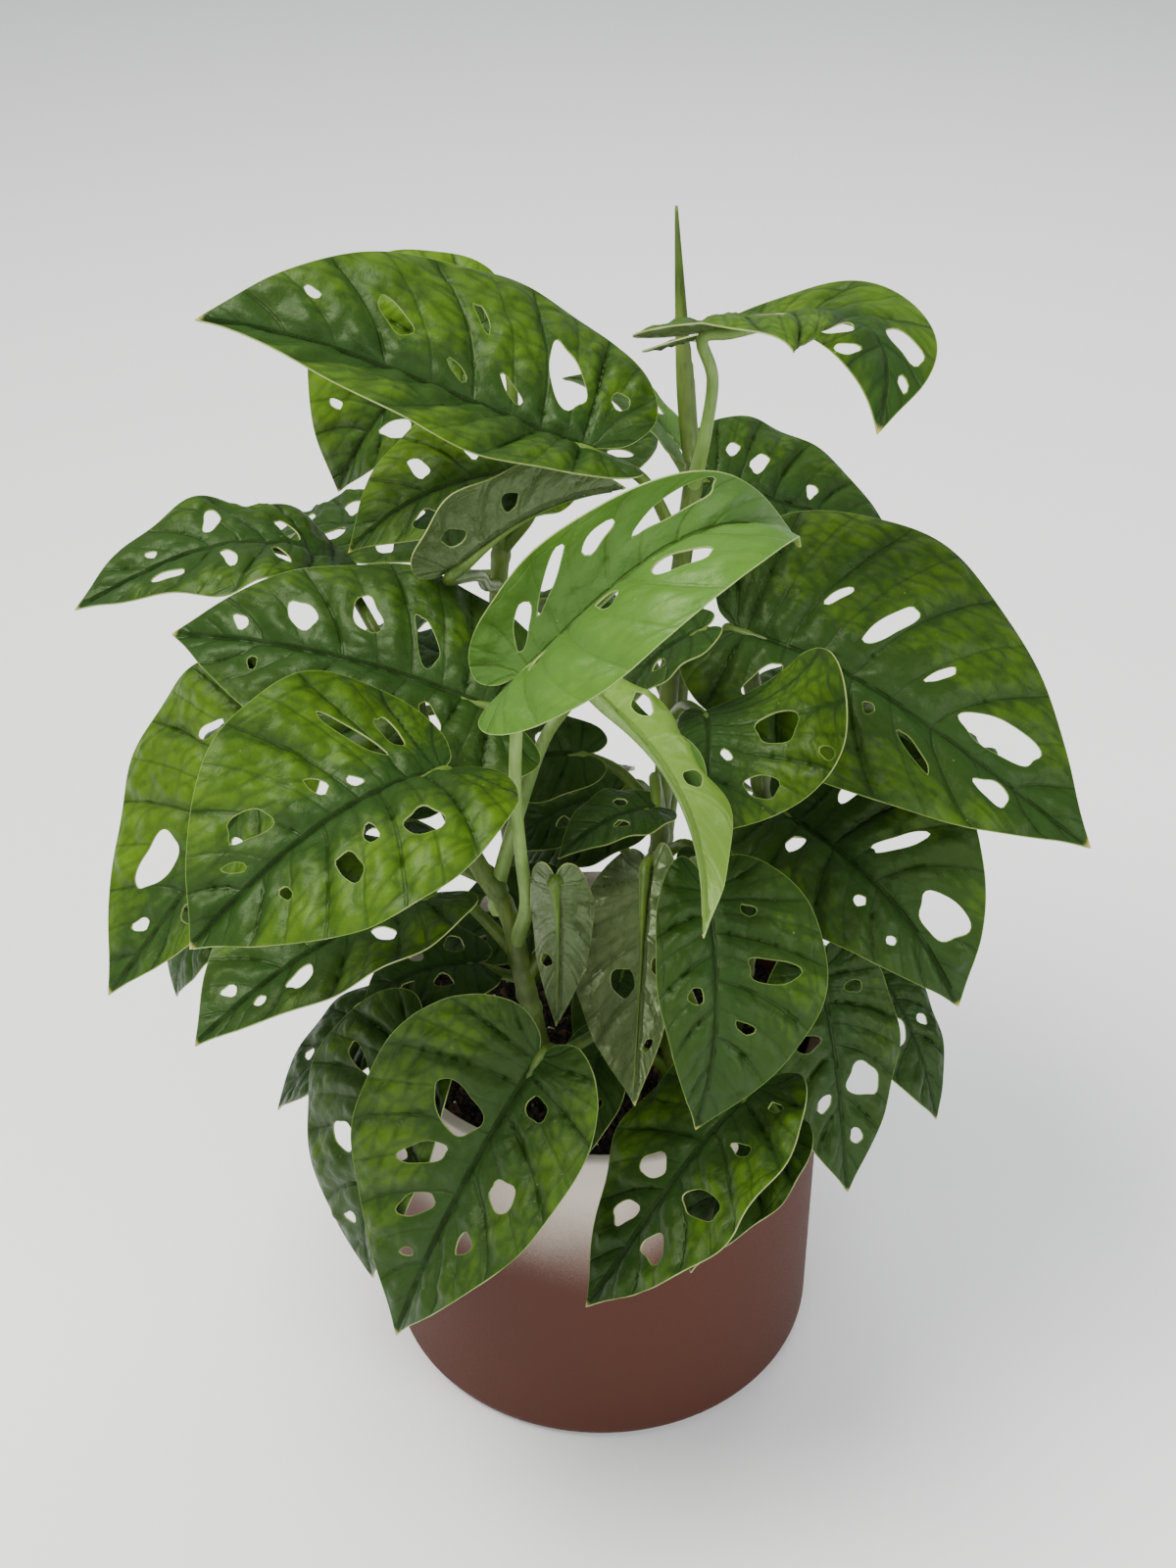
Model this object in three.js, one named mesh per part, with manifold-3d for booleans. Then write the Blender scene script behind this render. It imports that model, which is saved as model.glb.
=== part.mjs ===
// A potted swiss cheese vine (Monstera adansonii): a plain cylindrical pot, soil, climbing
// stems and holed leaves. Millimetres, +Z up, origin at the middle of the pot's foot,
// -Y towards the viewer.
import * as THREE from "three";
import { mergeVertices } from "three/addons/utils/BufferGeometryUtils.js";
import Module from "manifold-3d";

const wasm = await Module();
wasm.setup();

const POT_RADIUS = 85;
const POT_HEIGHT = 150;
const POT_WALL = 5;
const POT_FLOOR = 6;
const FOOT_FILLET = 7;
const POT_SIDES = 36;
const SOIL_RIM = 131;        // soil height at the wall
const SOIL_TOP = 137;        // and in the middle
const GAP = 0.35;            // between neighbouring pieces
const BLADE = 0.8;           // leaf thickness
const PETIOLE = [2.7, 2];  // leaf stalk radius at the stem and at the blade

// Half of a leaf's outline, from the base round to the tip: x in leaf lengths, y in half
// widths, and where the side vein that ends at each margin point leaves the midrib.
const MARGIN_X = [0, -0.075, -0.115, -0.06, 0.08, 0.27, 0.47, 0.66, 0.82, 0.93, 1];
const MARGIN_Y = [0, 0.1, 0.33, 0.63, 0.89, 1, 0.93, 0.7, 0.405, 0.145, 0];
const VEIN_START = [0, 0, 0, 0, 0.045, 0.14, 0.28, 0.45, 0.645, 0.84, 1];

// The stems: axis points from the foot in the soil to the top, and the radius.
const VINES = {
  "tall": {"radius": 4,
           "path": [[14, 8, 100], [18, 8, 170], [21, 7, 230], [24, 9, 310], [30, 12, 372]]},
  "left": {"radius": 4,
           "path": [[-14, -34, 100], [-22, -44, 165], [-28, -52, 211], [-32, -54, 236], [-44, -47, 256],
                    [-56, -34, 278], [-63, -20, 299]]},
  "rim_left": {"radius": 3.5,
               "path": [[-32, -24, 100], [-38, -34, 140], [-42, -46, 172]]},
  "front": {"radius": 3.5,
            "path": [[22, -34, 100], [24, -40, 150], [26, -46, 196], [28, -42, 236]]},
  "right": {"radius": 4,
            "path": [[44, 2, 100], [52, 2, 150], [58, 4, 210], [56, 12, 262], [48, 20, 305]]},
  "back_left": {"radius": 4,
                "path": [[-22, 26, 100], [-30, 34, 160], [-38, 40, 230], [-38, 44, 300], [-34, 48, 340]]},
  "back_right": {"radius": 3.5,
                 "path": [[18, 40, 100], [22, 50, 160], [28, 56, 230], [30, 58, 290]]}};

// Holes as [side, x0, y0, x1, y1, width]: a rounded slot between two points of the leaf's
// own plan, side 1 left and -1 right of the midrib seen from above; width in mm.
const PATTERNS = {
  "a": [[1, 0.14, 0.2, 0.06, 0.62, 6], [1, 0.33, 0.2, 0.34, 0.66, 7], [1, 0.55, 0.16, 0.62, 0.5, 5],
        [-1, 0.12, 0.22, 0.1, 0.6, 6], [-1, 0.36, 0.18, 0.4, 0.6, 7], [-1, 0.58, 0.18, 0.66, 0.42, 4]],
  "b": [[1, 0.22, 0.18, 0.2, 0.7, 7], [1, 0.45, 0.16, 0.5, 0.62, 6], [1, 0.7, 0.12, 0.74, 0.3, 4],
        [-1, 0.05, 0.25, 0.02, 0.55, 5], [-1, 0.26, 0.2, 0.26, 0.7, 7], [-1, 0.5, 0.16, 0.56, 0.55, 5]],
  "c": [[1, 0.3, 0.22, 0.3, 0.6, 6], [1, 0.56, 0.16, 0.6, 0.44, 5],
        [-1, 0.16, 0.25, 0.12, 0.6, 6], [-1, 0.42, 0.2, 0.46, 0.52, 5]],
  "d": [[1, 0.4, 0.2, 0.44, 0.5, 5], [-1, 0.26, 0.24, 0.26, 0.54, 5]]};

// Each leaf: base and tip of the midrib, roll of the face about it, half widths (left and
// right), arch of the midrib, fold and curl of each half, twist, depth of the base lobes,
// height of the margin's wave, the stem it grows on and how far up, points that its stalk
// passes, and holes.
const LEAVES = [
  {"name": "crown_left", "base": [-4, -5, 385], "tip": [-128, 5, 424], "roll": 14, "wide": [32, 53],
   "arch": 5, "skew": 0.9, "fold": [32, 38], "curl": [-35, -48], "twist": 6, "lobe": 1.15, "wave": 1.2,
   "stem": ["tall", 0.85], "via": [[14, 4, 368]],
   "holes": [[-1, 0.77, 0.33, 0.73, 0.28, 3], [-1, 0.6, 0.42, 0.51, 0.25, 6], [-1, 0.38, 0.64, 0.33, 0.46, 3],
             [-1, 0.4, 0.2, 0.34, 0.1, 3], [-1, 0.27, 0.24, 0.2, 0.1, 3], [-1, 0.16, 0.62, 0.07, 0.2, 11],
             [-1, -0.02, 0.4, -0.05, 0.3, 6]]},
  {"name": "crown_back", "base": [-40, 80, 393], "tip": [-96, 70, 331], "roll": 44, "wide": [19, 43],
   "arch": 16, "skew": 0, "fold": [10, 14], "curl": [-16, -8], "twist": 9, "lobe": 1, "wave": 2,
   "stem": ["back_left", 0.95], "via": [[-32, 62, 374]],
   "holes": [[1, 0.62, 0.2, 0.5, 0.66, 6], [1, 0.3, 0.3, 0.26, 0.7, 5], [-1, 0.68, 0.42, 0.66, 0.3, 3],
             [-1, 0.44, 0.2, 0.4, 0.5, 6], [-1, 0.16, 0.3, 0.12, 0.6, 6]]},
  {"name": "crown_curled", "base": [-21, 38, 357], "tip": [-86, 10, 339], "roll": 20, "wide": [26, 30],
   "arch": 12, "skew": 0.2, "fold": [10, 13], "curl": [-15, -18], "twist": 3, "lobe": 1, "wave": 2,
   "stem": ["back_left", 0.86], "via": [[-26, 42, 336]],
   "holes": [[1, 0.67, 0.28, 0.6, 0.56, 8], [1, 0.34, 0.24, 0.3, 0.6, 6], [-1, 0.3, 0.24, 0.26, 0.64, 6],
             [-1, 0.54, 0.2, 0.56, 0.5, 5]]},
  {"name": "crown_edge", "base": [-50, -22, 350], "tip": [7, -6, 372], "roll": -4, "wide": [22, 24],
   "arch": 7, "skew": 0.2, "fold": [6, 84], "curl": [-20, -8], "twist": 8, "lobe": 1, "wave": 1.5,
   "stem": ["back_left", 0.78], "via": [[-41, 26, 318], [-42, 4, 334]], "holes": "c"},
  {"name": "far_left", "base": [-92, 24, 326], "tip": [-178, -1, 323], "roll": 0, "wide": [30, 29],
   "arch": 15, "skew": -0.4, "fold": [15, 19], "curl": [-40, -22], "twist": 18, "lobe": 0.9, "wave": 3,
   "stem": ["left", 0.97], "via": [[-78, 0, 316]],
   "holes": [[-1, 0.7, 0.26, 0.66, 0.16, 3], [1, 0.7, 0.3, 0.58, 0.42, 5], [-1, 0.2, 0.5, 0.14, 0.18, 5],
             [1, 0.42, 0.2, 0.4, 0.6, 4], [1, 0.24, 0.2, 0.22, 0.6, 4], [-1, 0.46, 0.24, 0.42, 0.64, 5]]},
  {"name": "left_shoulder", "base": [-35, -48, 314], "tip": [-142, -20, 325], "roll": 28, "wide": [36, 42],
   "arch": 11, "skew": -0.1, "fold": [9, 16], "curl": [-16, -42], "twist": 2, "lobe": 1.4, "wave": 2,
   "stem": ["left", 0.75], "via": [[-42, -40, 292]],
   "holes": [[-1, 0.81, 0.2, 0.76, 0.1, 4], [-1, 0.65, 0.36, 0.56, 0.2, 8], [-1, 0.46, 0.54, 0.38, 0.26, 8],
             [-1, 0.28, 0.52, 0.2, 0.14, 6], [1, 0.71, 0.16, 0.69, 0.3, 3], [1, 0.19, 0.2, 0.13, 0.46, 5],
             [1, 0.45, 0.2, 0.45, 0.6, 6]]},
  {"name": "left_front", "base": [-48, -92, 321], "tip": [-121, -138, 288], "roll": 14, "wide": [46, 46],
   "arch": 13, "skew": -0.3, "fold": [24, 16], "curl": [-45, 12], "twist": 30, "lobe": 0.7, "wave": 1.2,
   "stem": ["left", 0.66], "via": [[-46, -66, 284]],
   "holes": [[-1, 0.68, 0.34, 0.55, 0.24, 8], [-1, 0.4, 0.32, 0.36, 0.17, 4], [-1, 0.29, 0.18, 0.25, 0.1, 3],
             [-1, 0.25, 0.68, 0.13, 0.22, 4], [-1, 0.08, 0.54, 0.07, 0.28, 5], [-1, 0.76, 0.2, 0.7, 0.1, 3],
             [1, 0.23, 0.42, 0.2, 0.64, 9], [1, 0.34, 0.28, 0.36, 0.46, 4], [1, 0.46, 0.36, 0.46, 0.6, 6],
             [1, 0.66, 0.22, 0.65, 0.34, 3]]},
  {"name": "left_back", "base": [-101, -50, 306], "tip": [-167, -72, 214], "roll": 24, "wide": [24, 52],
   "arch": -2, "skew": 0, "fold": [11, 11], "curl": [-20, -20], "twist": -10, "lobe": 1, "wave": 1.5,
   "stem": ["left", 0.85], "via": [[-80, -40, 300]],
   "holes": [[-1, 0.7, 0.32, 0.5, 0.28, 12], [-1, 0.8, 0.16, 0.74, 0.08, 4], [-1, 0.22, 0.56, 0.12, 0.44, 4],
             [-1, 0.26, 0.24, 0.2, 0.12, 5], [1, 0.36, 0.2, 0.36, 0.6, 6], [1, 0.6, 0.2, 0.64, 0.4, 5]]},
  {"name": "left_small", "base": [-131, -10, 215], "tip": [-157, -21, 170], "roll": 9, "wide": [19, 18],
   "arch": 8, "skew": 0, "fold": [10, 10], "curl": [-15, -15], "twist": 0, "lobe": 1, "wave": 1,
   "stem": ["left", 0.6], "via": [[-78, -28, 244]], "holes": "d"},
  {"name": "left_low", "base": [-56, -66, 253], "tip": [-130, -112, 227], "roll": 0, "wide": [30, 43],
   "arch": 8, "skew": 0, "fold": [14, 14], "curl": [-12, -9], "twist": 10, "lobe": 1, "wave": 1.5,
   "stem": ["left", 0.35], "via": [[-46, -44, 232]],
   "holes": [[-1, 0.82, 0.18, 0.77, 0.1, 4], [-1, 0.54, 0.24, 0.56, 0.6, 6], [-1, 0.3, 0.22, 0.28, 0.66, 7],
             [1, 0.74, 0.14, 0.72, 0.28, 4], [1, 0.62, 0.38, 0.52, 0.24, 7], [1, 0.26, 0.24, 0.24, 0.6, 6]]},
  {"name": "rim_left_back", "base": [-67, -46, 186], "tip": [-118, -52, 143], "roll": 0, "wide": [24, 22],
   "arch": 8, "skew": 0, "fold": [10, 10], "curl": [-15, -15], "twist": 0, "lobe": 1, "wave": 1,
   "stem": ["rim_left", 0.8], "via": [[-54, -44, 180]],
   "holes": [[-1, 0.68, 0.3, 0.61, 0.16, 4], [-1, 0.3, 0.24, 0.28, 0.6, 5], [1, 0.4, 0.2, 0.42, 0.56, 5]]},
  {"name": "rim_left", "base": [-62, -82, 202], "tip": [-81, -100, 107], "roll": -5, "wide": [29, 38],
   "arch": 12, "skew": -0.1, "fold": [10, 11], "curl": [-15, -14], "twist": 0, "lobe": 1, "wave": 1,
   "stem": ["rim_left", 0.9], "via": [[-50, -62, 192]],
   "holes": [[-1, 0.42, 0.5, 0.44, 0.2, 10], [-1, 0.76, 0.26, 0.72, 0.1, 4], [-1, 0.18, 0.3, 0.14, 0.66, 5],
             [1, 0.3, 0.24, 0.32, 0.66, 6], [1, 0.6, 0.2, 0.64, 0.46, 5]]},
  {"name": "rim_front_left", "base": [-20, -107, 219], "tip": [-69, -138, 121], "roll": 8, "wide": [35, 46],
   "arch": 5, "skew": 0.1, "fold": [13, 21], "curl": [-25, 8], "twist": -25, "lobe": 0.8, "wave": 1.2,
   "stem": ["front", 0.6], "via": [[8, -66, 200], [-12, -92, 208]],
   "holes": [[-1, 0.22, 0.52, 0.3, 0.14, 13], [-1, 0.49, 0.52, 0.38, 0.22, 7],
             [-1, 0.64, 0.36, 0.53, 0.14, 7], [-1, 0.75, 0.22, 0.72, 0.12, 3],
             [1, 0.12, 0.16, 0.12, 0.4, 7], [1, 0.38, 0.32, 0.38, 0.6, 10],
             [1, 0.61, 0.34, 0.54, 0.4, 6]]},
  {"name": "centre_grey", "base": [16, -52, 252], "tip": [11, -115, 205], "roll": 145, "wide": [30, 14],
   "arch": 0, "skew": 0, "fold": [8, 6], "curl": [-24, -15], "twist": 6, "lobe": 1.1, "wave": 1.5,
   "stem": ["front", 0.78], "via": [[19, -42, 248]],
   "holes": [[1, 0.42, 0.44, 0.52, 0.14, 9], [-1, 0.74, 0.14, 0.76, 0.32, 5], [-1, 0.4, 0.2, 0.42, 0.6, 6]]},
  {"name": "front_centre", "base": [33, -88, 273], "tip": [30, -128, 207], "roll": 22, "wide": [36, 20],
   "arch": 14, "skew": 0, "fold": [8, 14], "curl": [-5, -38], "twist": 7, "lobe": 1.05, "wave": 1,
   "stem": ["front", 1], "via": [[30, -62, 264]],
   "holes": [[1, 0.31, 0.28, 0.33, 0.74, 7], [1, 0.08, 0.26, 0.1, 0.4, 3], [-1, 0.41, 0.5, 0.42, 0.25, 5],
             [1, 0.52, 0.16, 0.56, 0.34, 3]]},
  {"name": "rim_front_right", "base": [52, -98, 199], "tip": [-5, -132, 129], "roll": -2, "wide": [37, 31],
   "arch": 4, "skew": -0.7, "fold": [9, 6], "curl": [-5, 3], "twist": 7, "lobe": 1.08, "wave": 2.5,
   "stem": ["front", 0.72], "via": [[38, -72, 194]],
   "holes": [[-1, 0.5, 0.44, 0.42, 0.2, 8], [-1, 0.7, 0.36, 0.6, 0.18, 7], [1, 0.68, 0.14, 0.63, 0.44, 9],
             [1, 0.45, 0.24, 0.38, 0.7, 9], [1, 0.2, 0.3, 0.17, 0.56, 4], [-1, 0.22, 0.4, 0.2, 0.18, 4],
             [1, 0.02, 0.3, 0, 0.46, 3]]},
  {"name": "rim_right_under", "base": [61, -86, 169], "tip": [31, -113, 125], "roll": -15, "wide": [24, 17],
   "arch": 9, "skew": 0.2, "fold": [7, 10], "curl": [-26, -15], "twist": 0, "lobe": 1, "wave": 1,
   "stem": ["front", 0.5], "via": [[46, -60, 174]], "holes": "d"},
  {"name": "right_low", "base": [77, -40, 201], "tip": [88, -80, 131], "roll": 16, "wide": [27, 28],
   "arch": 3, "skew": -0.2, "fold": [5, 9], "curl": [-5, -16], "twist": 8, "lobe": 0.95, "wave": 1.5,
   "stem": ["right", 0.45], "via": [[66, -20, 200]],
   "holes": [[1, 0.48, 0.16, 0.56, 0.6, 11], [1, 0.72, 0.14, 0.79, 0.24, 5], [1, 0.1, 0.28, 0.11, 0.55, 4],
             [-1, 0.3, 0.2, 0.3, 0.6, 6], [-1, 0.55, 0.16, 0.6, 0.4, 5]]},
  {"name": "right_low_back", "base": [102, 2, 170], "tip": [126, -34, 123], "roll": 12, "wide": [16, 27],
   "arch": 6, "skew": 0, "fold": [8, 9], "curl": [-21, -17], "twist": 0, "lobe": 1, "wave": 1,
   "stem": ["right", 0.35], "via": [[80, 4, 174]],
   "holes": [[-1, 0.5, 0.3, 0.32, 0.34, 10], [1, 0.4, 0.26, 0.44, 0.56, 4]]},
  {"name": "right_side", "base": [61, -14, 252], "tip": [121, -70, 209], "roll": -19, "wide": [45, 30],
   "arch": 20, "skew": 0.2, "fold": [24, 5], "curl": [2, -22], "twist": -6, "lobe": 1, "wave": 1.5,
   "stem": ["right", 0.62], "via": [[60, -8, 248]],
   "holes": [[1, 0.39, 0.16, 0.49, 0.52, 4], [1, 0.63, 0.18, 0.8, 0.26, 13], [-1, 0.17, 0.4, 0.17, 0.15, 5],
             [-1, 0.48, 0.34, 0.51, 0.24, 4], [-1, 0.66, 0.36, 0.69, 0.28, 3], [1, 0.18, 0.3, 0.2, 0.66, 6]]},
  {"name": "right_shoulder", "base": [45, 5, 313], "tip": [164, -45, 258], "roll": -20, "wide": [62, 40],
   "arch": 12, "skew": -0.6, "fold": [18, 8], "curl": [-28, -26], "twist": 16, "lobe": 0.8, "wave": 1.5,
   "stem": ["right", 0.9], "via": [[46, 14, 306]],
   "holes": [[1, 0.28, 0.2, 0.35, 0.52, 6], [1, 0.45, 0.19, 0.5, 0.36, 3], [1, 0.57, 0.14, 0.78, 0.23, 12],
             [-1, 0.67, 0.2, 0.77, 0.16, 8], [-1, 0.36, 0.16, 0.38, 0.25, 4], [-1, 0.46, 0.24, 0.57, 0.42, 4],
             [-1, 0.14, 0.2, 0.1, 0.6, 6], [1, 0.16, 0.3, 0.2, 0.46, 3]]},
  {"name": "right_back", "base": [37, 56, 343], "tip": [107, 71, 310], "roll": -30, "wide": [34, 24],
   "arch": 3, "skew": 0.2, "fold": [15, 10], "curl": [-35, -15], "twist": 5, "lobe": 1, "wave": 1.5,
   "stem": ["right", 1], "via": [[42, 40, 330]],
   "holes": [[1, 0.08, 0.36, 0.12, 0.52, 4], [1, 0.2, 0.24, 0.27, 0.48, 5], [1, 0.49, 0.12, 0.52, 0.3, 4],
             [-1, 0.3, 0.2, 0.32, 0.6, 5]]},
  {"name": "crown_right", "base": [32, 0, 423], "tip": [81, -44, 409], "roll": 60, "wide": [33, 48],
   "arch": 28, "skew": 0.32, "fold": [37, -36], "curl": [44, -33], "twist": -32, "lobe": 1.9, "wave": 1,
   "stem": ["tall", 0.96], "via": [[32, 4, 384], [34, 2, 406]],
   "holes": [[1, 0.62, 0.24, 0.77, 0.36, 8], [1, 0.83, 0.12, 0.87, 0.2, 3], [-1, 0.58, 0.16, 0.64, 0.5, 7],
             [-1, 0.76, 0.2, 0.8, 0.4, 4], [-1, 0.24, 0.24, 0.2, 0.56, 6]]},
  {"name": "centre_bright", "base": [-25, -90, 353], "tip": [59, -58, 379], "roll": -32, "wide": [24, 36],
   "arch": 40, "skew": 0.4, "fold": [22, 57], "curl": [58, -66], "twist": -21, "lobe": 0.85, "wave": 0.8,
   "stem": ["left", 0.4], "via": [[-25, -66, 248], [-26, -76, 276], [-27, -84, 308], [-26, -88, 334]],
   "holes": [[-1, 0.47, 0.26, 0.6, 0.42, 7], [-1, 0.31, 0.12, 0.36, 0.34, 5], [-1, 0.1, 0.3, 0.11, 0.12, 5],
             [1, 0.47, 0.34, 0.7, 0.5, 6], [1, 0.34, 0.5, 0.45, 0.66, 4], [1, 0.04, 0.2, 0.15, 0.6, 4],
             [1, 0.15, 0.36, 0.34, 0.82, 3]]},
  {"name": "right_cupped", "base": [33, -36, 306], "tip": [31, -84, 291], "roll": 17, "wide": [50, 12],
   "arch": 6, "skew": -0.6, "fold": [1, -4], "curl": [72, -40], "twist": 33, "lobe": 1, "wave": 1,
   "stem": ["tall", 0.62], "via": [[27, -14, 294]],
   "holes": [[1, 0.26, 0.3, 0.3, 0.58, 9], [1, 0.62, 0.24, 0.64, 0.46, 7], [1, 0.4, 0.08, 0.47, 0.14, 3],
             [1, 0.46, 0.72, 0.52, 0.84, 3]]},
  {"name": "centre_curled", "base": [-3, -69, 334], "tip": [31, -118, 277], "roll": 95, "wide": [19, 17],
   "arch": 14, "skew": 0, "fold": [25, 25], "curl": [95, 140], "twist": -20, "lobe": 0.8, "wave": 3.2,
   "stem": ["left", 0.56], "via": [[-22, -40, 290], [-12, -50, 316]], "holes": "c"},
  {"name": "inner_top", "base": [32, -30, 334], "tip": [6, -36, 304], "roll": 0, "wide": [15, 15],
   "arch": 6, "skew": 0, "fold": [10, 10], "curl": [-15, -15], "twist": 0, "lobe": 1, "wave": 1,
   "stem": ["tall", 0.7], "via": [[20, -14, 322]], "holes": "d"},
  {"name": "inner_middle", "base": [18, -28, 262], "tip": [-15, -50, 256], "roll": 0, "wide": [14, 14],
   "arch": 5, "skew": 0, "fold": [10, 10], "curl": [-15, -15], "twist": 0, "lobe": 1, "wave": 1,
   "stem": ["tall", 0.5], "via": [[18, -10, 262]], "holes": "d"},
  {"name": "inner_left", "base": [-43, -44, 206], "tip": [-84, -55, 193], "roll": 8, "wide": [19, 20],
   "arch": 8, "skew": 0, "fold": [10, 10], "curl": [-15, -15], "twist": 0, "lobe": 1, "wave": 1,
   "stem": ["left", 0.3], "via": [[-34, -48, 204]], "holes": "c"},
  {"name": "rim_front_under", "base": [2, -64, 188], "tip": [-13, -92, 148], "roll": 0, "wide": [14, 14],
   "arch": 6, "skew": 0, "fold": [8, 8], "curl": [-10, -10], "twist": 0, "lobe": 1, "wave": 1,
   "stem": ["front", 0.35], "via": [[12, -50, 172]], "holes": "d"},
  {"name": "inner_back_left", "base": [-6, 4, 262], "tip": [-56, 16, 238], "roll": 26, "wide": [19, 18],
   "arch": 8, "skew": 0, "fold": [8, 8], "curl": [-15, -15], "twist": 0, "lobe": 1, "wave": 1.5,
   "stem": ["tall", 0.5], "via": [[8, 8, 250]], "holes": "d"},
  {"name": "inner_back_top", "base": [8, 22, 300], "tip": [-36, 24, 272], "roll": 24, "wide": [18, 18],
   "arch": 8, "skew": 0, "fold": [8, 8], "curl": [-15, -15], "twist": 0, "lobe": 1, "wave": 1.5,
   "stem": ["tall", 0.66], "via": [[16, 16, 292]], "holes": "d"},
  {"name": "inner_low_left", "base": [-16, 4, 198], "tip": [-64, -4, 172], "roll": 26, "wide": [20, 19],
   "arch": 8, "skew": 0, "fold": [8, 8], "curl": [-15, -15], "twist": 0, "lobe": 1, "wave": 1.5,
   "stem": ["tall", 0.28], "via": [[0, 8, 190]], "holes": "c"},
  {"name": "inner_low_back", "base": [4, 28, 228], "tip": [-38, 20, 206], "roll": 20, "wide": [17, 17],
   "arch": 8, "skew": 0, "fold": [8, 8], "curl": [-15, -15], "twist": 0, "lobe": 1, "wave": 1.5,
   "stem": ["back_right", 0.46], "via": [[15, 42, 222]], "holes": "d"},
  {"name": "inner_low_front", "base": [8, -12, 176], "tip": [-6, -58, 160], "roll": 14, "wide": [15, 15],
   "arch": 6, "skew": 0, "fold": [8, 8], "curl": [-15, -15], "twist": 0, "lobe": 1, "wave": 1,
   "stem": ["tall", 0.2], "via": [[14, -2, 168]], "holes": "d"},
  {"name": "inner_rim_back", "base": [11, 60, 196], "tip": [-36, 66, 164], "roll": 24, "wide": [19, 19],
   "arch": 8, "skew": 0, "fold": [8, 8], "curl": [-15, -15], "twist": 0, "lobe": 1, "wave": 1.5,
   "stem": ["back_right", 0.35], "via": [[20, 64, 188]], "holes": "d"},
  {"name": "inner_right", "base": [36, -18, 236], "tip": [66, -46, 208], "roll": -10, "wide": [17, 17],
   "arch": 6, "skew": 0, "fold": [8, 8], "curl": [-15, -15], "twist": 0, "lobe": 1, "wave": 1,
   "stem": ["tall", 0.42], "via": [[28, -6, 230]], "holes": "d"},
  {"name": "crown_young", "base": [24, 26, 372], "tip": [-14, 34, 392], "roll": 0, "wide": [13, 13],
   "arch": 6, "skew": 0, "fold": [12, 12], "curl": [-15, -15], "twist": 0, "lobe": 1, "wave": 0.8,
   "stem": ["tall", 0.9], "via": [[28, 18, 362]], "holes": "d"},
  {"name": "centre_small", "base": [-15, -82, 272], "tip": [-15, -89, 216], "roll": 170, "wide": [11, 12],
   "arch": 5, "skew": 0, "fold": [10, 10], "curl": [35, 35], "twist": 0, "lobe": 1, "wave": 1,
   "stem": ["left", 0.3], "via": [[-14, -56, 234], [-9, -68, 260]], "holes": [[1, 0.62, 0.2, 0.6, 0.6, 5]]},
  {"name": "back_left_high", "base": [-66, 62, 316], "tip": [-136, 92, 288], "roll": 0, "wide": [28, 28],
   "arch": 12, "skew": 0, "fold": [12, 12], "curl": [-20, -20], "twist": 0, "lobe": 1, "wave": 1.5,
   "stem": ["back_left", 0.8], "via": [[-50, 52, 308]], "holes": "a"},
  {"name": "back_left_mid", "base": [-58, 78, 256], "tip": [-116, 134, 212], "roll": 0, "wide": [33, 33],
   "arch": 14, "skew": 0, "fold": [12, 12], "curl": [-22, -22], "twist": 8, "lobe": 1, "wave": 1.5,
   "stem": ["back_left", 0.5], "via": [[-46, 60, 244]], "holes": "b"},
  {"name": "back_left_low", "base": [-74, 44, 204], "tip": [-142, 66, 152], "roll": 4, "wide": [29, 29],
   "arch": 12, "skew": 0, "fold": [10, 10], "curl": [-18, -18], "twist": 0, "lobe": 1, "wave": 1.2,
   "stem": ["back_left", 0.3], "via": [[-52, 38, 192]], "holes": "a"},
  {"name": "side_left", "base": [-92, 20, 266], "tip": [-166, 38, 216], "roll": -4, "wide": [32, 32],
   "arch": 14, "skew": 0, "fold": [12, 12], "curl": [-20, -20], "twist": -6, "lobe": 1, "wave": 1.5,
   "stem": ["back_left", 0.6], "via": [[-64, 32, 262]], "holes": "b"},
  {"name": "back_mid_high", "base": [-6, 88, 334], "tip": [-20, 160, 296], "roll": 0, "wide": [31, 31],
   "arch": 14, "skew": 0, "fold": [12, 12], "curl": [-20, -20], "twist": 6, "lobe": 1, "wave": 1.5,
   "stem": ["back_left", 0.92], "via": [[-20, 68, 332]], "holes": "b"},
  {"name": "back_mid", "base": [6, 92, 262], "tip": [8, 170, 212], "roll": 0, "wide": [35, 35],
   "arch": 14, "skew": 0, "fold": [12, 12], "curl": [-22, -22], "twist": 0, "lobe": 1, "wave": 1.5,
   "stem": ["back_right", 0.7], "via": [[18, 74, 258]], "holes": "a"},
  {"name": "back_low", "base": [-14, 88, 190], "tip": [-26, 142, 118], "roll": 0, "wide": [33, 33],
   "arch": 14, "skew": 0, "fold": [10, 10], "curl": [-18, -18], "twist": -6, "lobe": 1, "wave": 1.2,
   "stem": ["back_right", 0.3], "via": [[4, 66, 184]], "holes": "b"},
  {"name": "back_right_high", "base": [60, 84, 300], "tip": [114, 142, 264], "roll": 0, "wide": [30, 30],
   "arch": 12, "skew": 0, "fold": [12, 12], "curl": [-20, -20], "twist": 0, "lobe": 1, "wave": 1.5,
   "stem": ["back_right", 1], "via": [[42, 70, 298]], "holes": "b"},
  {"name": "back_right_mid", "base": [72, 66, 240], "tip": [142, 104, 196], "roll": 0, "wide": [32, 32],
   "arch": 14, "skew": 0, "fold": [12, 12], "curl": [-22, -22], "twist": 6, "lobe": 1, "wave": 1.5,
   "stem": ["back_right", 0.6], "via": [[48, 60, 236]], "holes": "a"},
  {"name": "back_right_low", "base": [60, 72, 186], "tip": [104, 120, 116], "roll": 0, "wide": [31, 31],
   "arch": 14, "skew": 0, "fold": [10, 10], "curl": [-18, -18], "twist": 0, "lobe": 1, "wave": 1.2,
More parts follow.
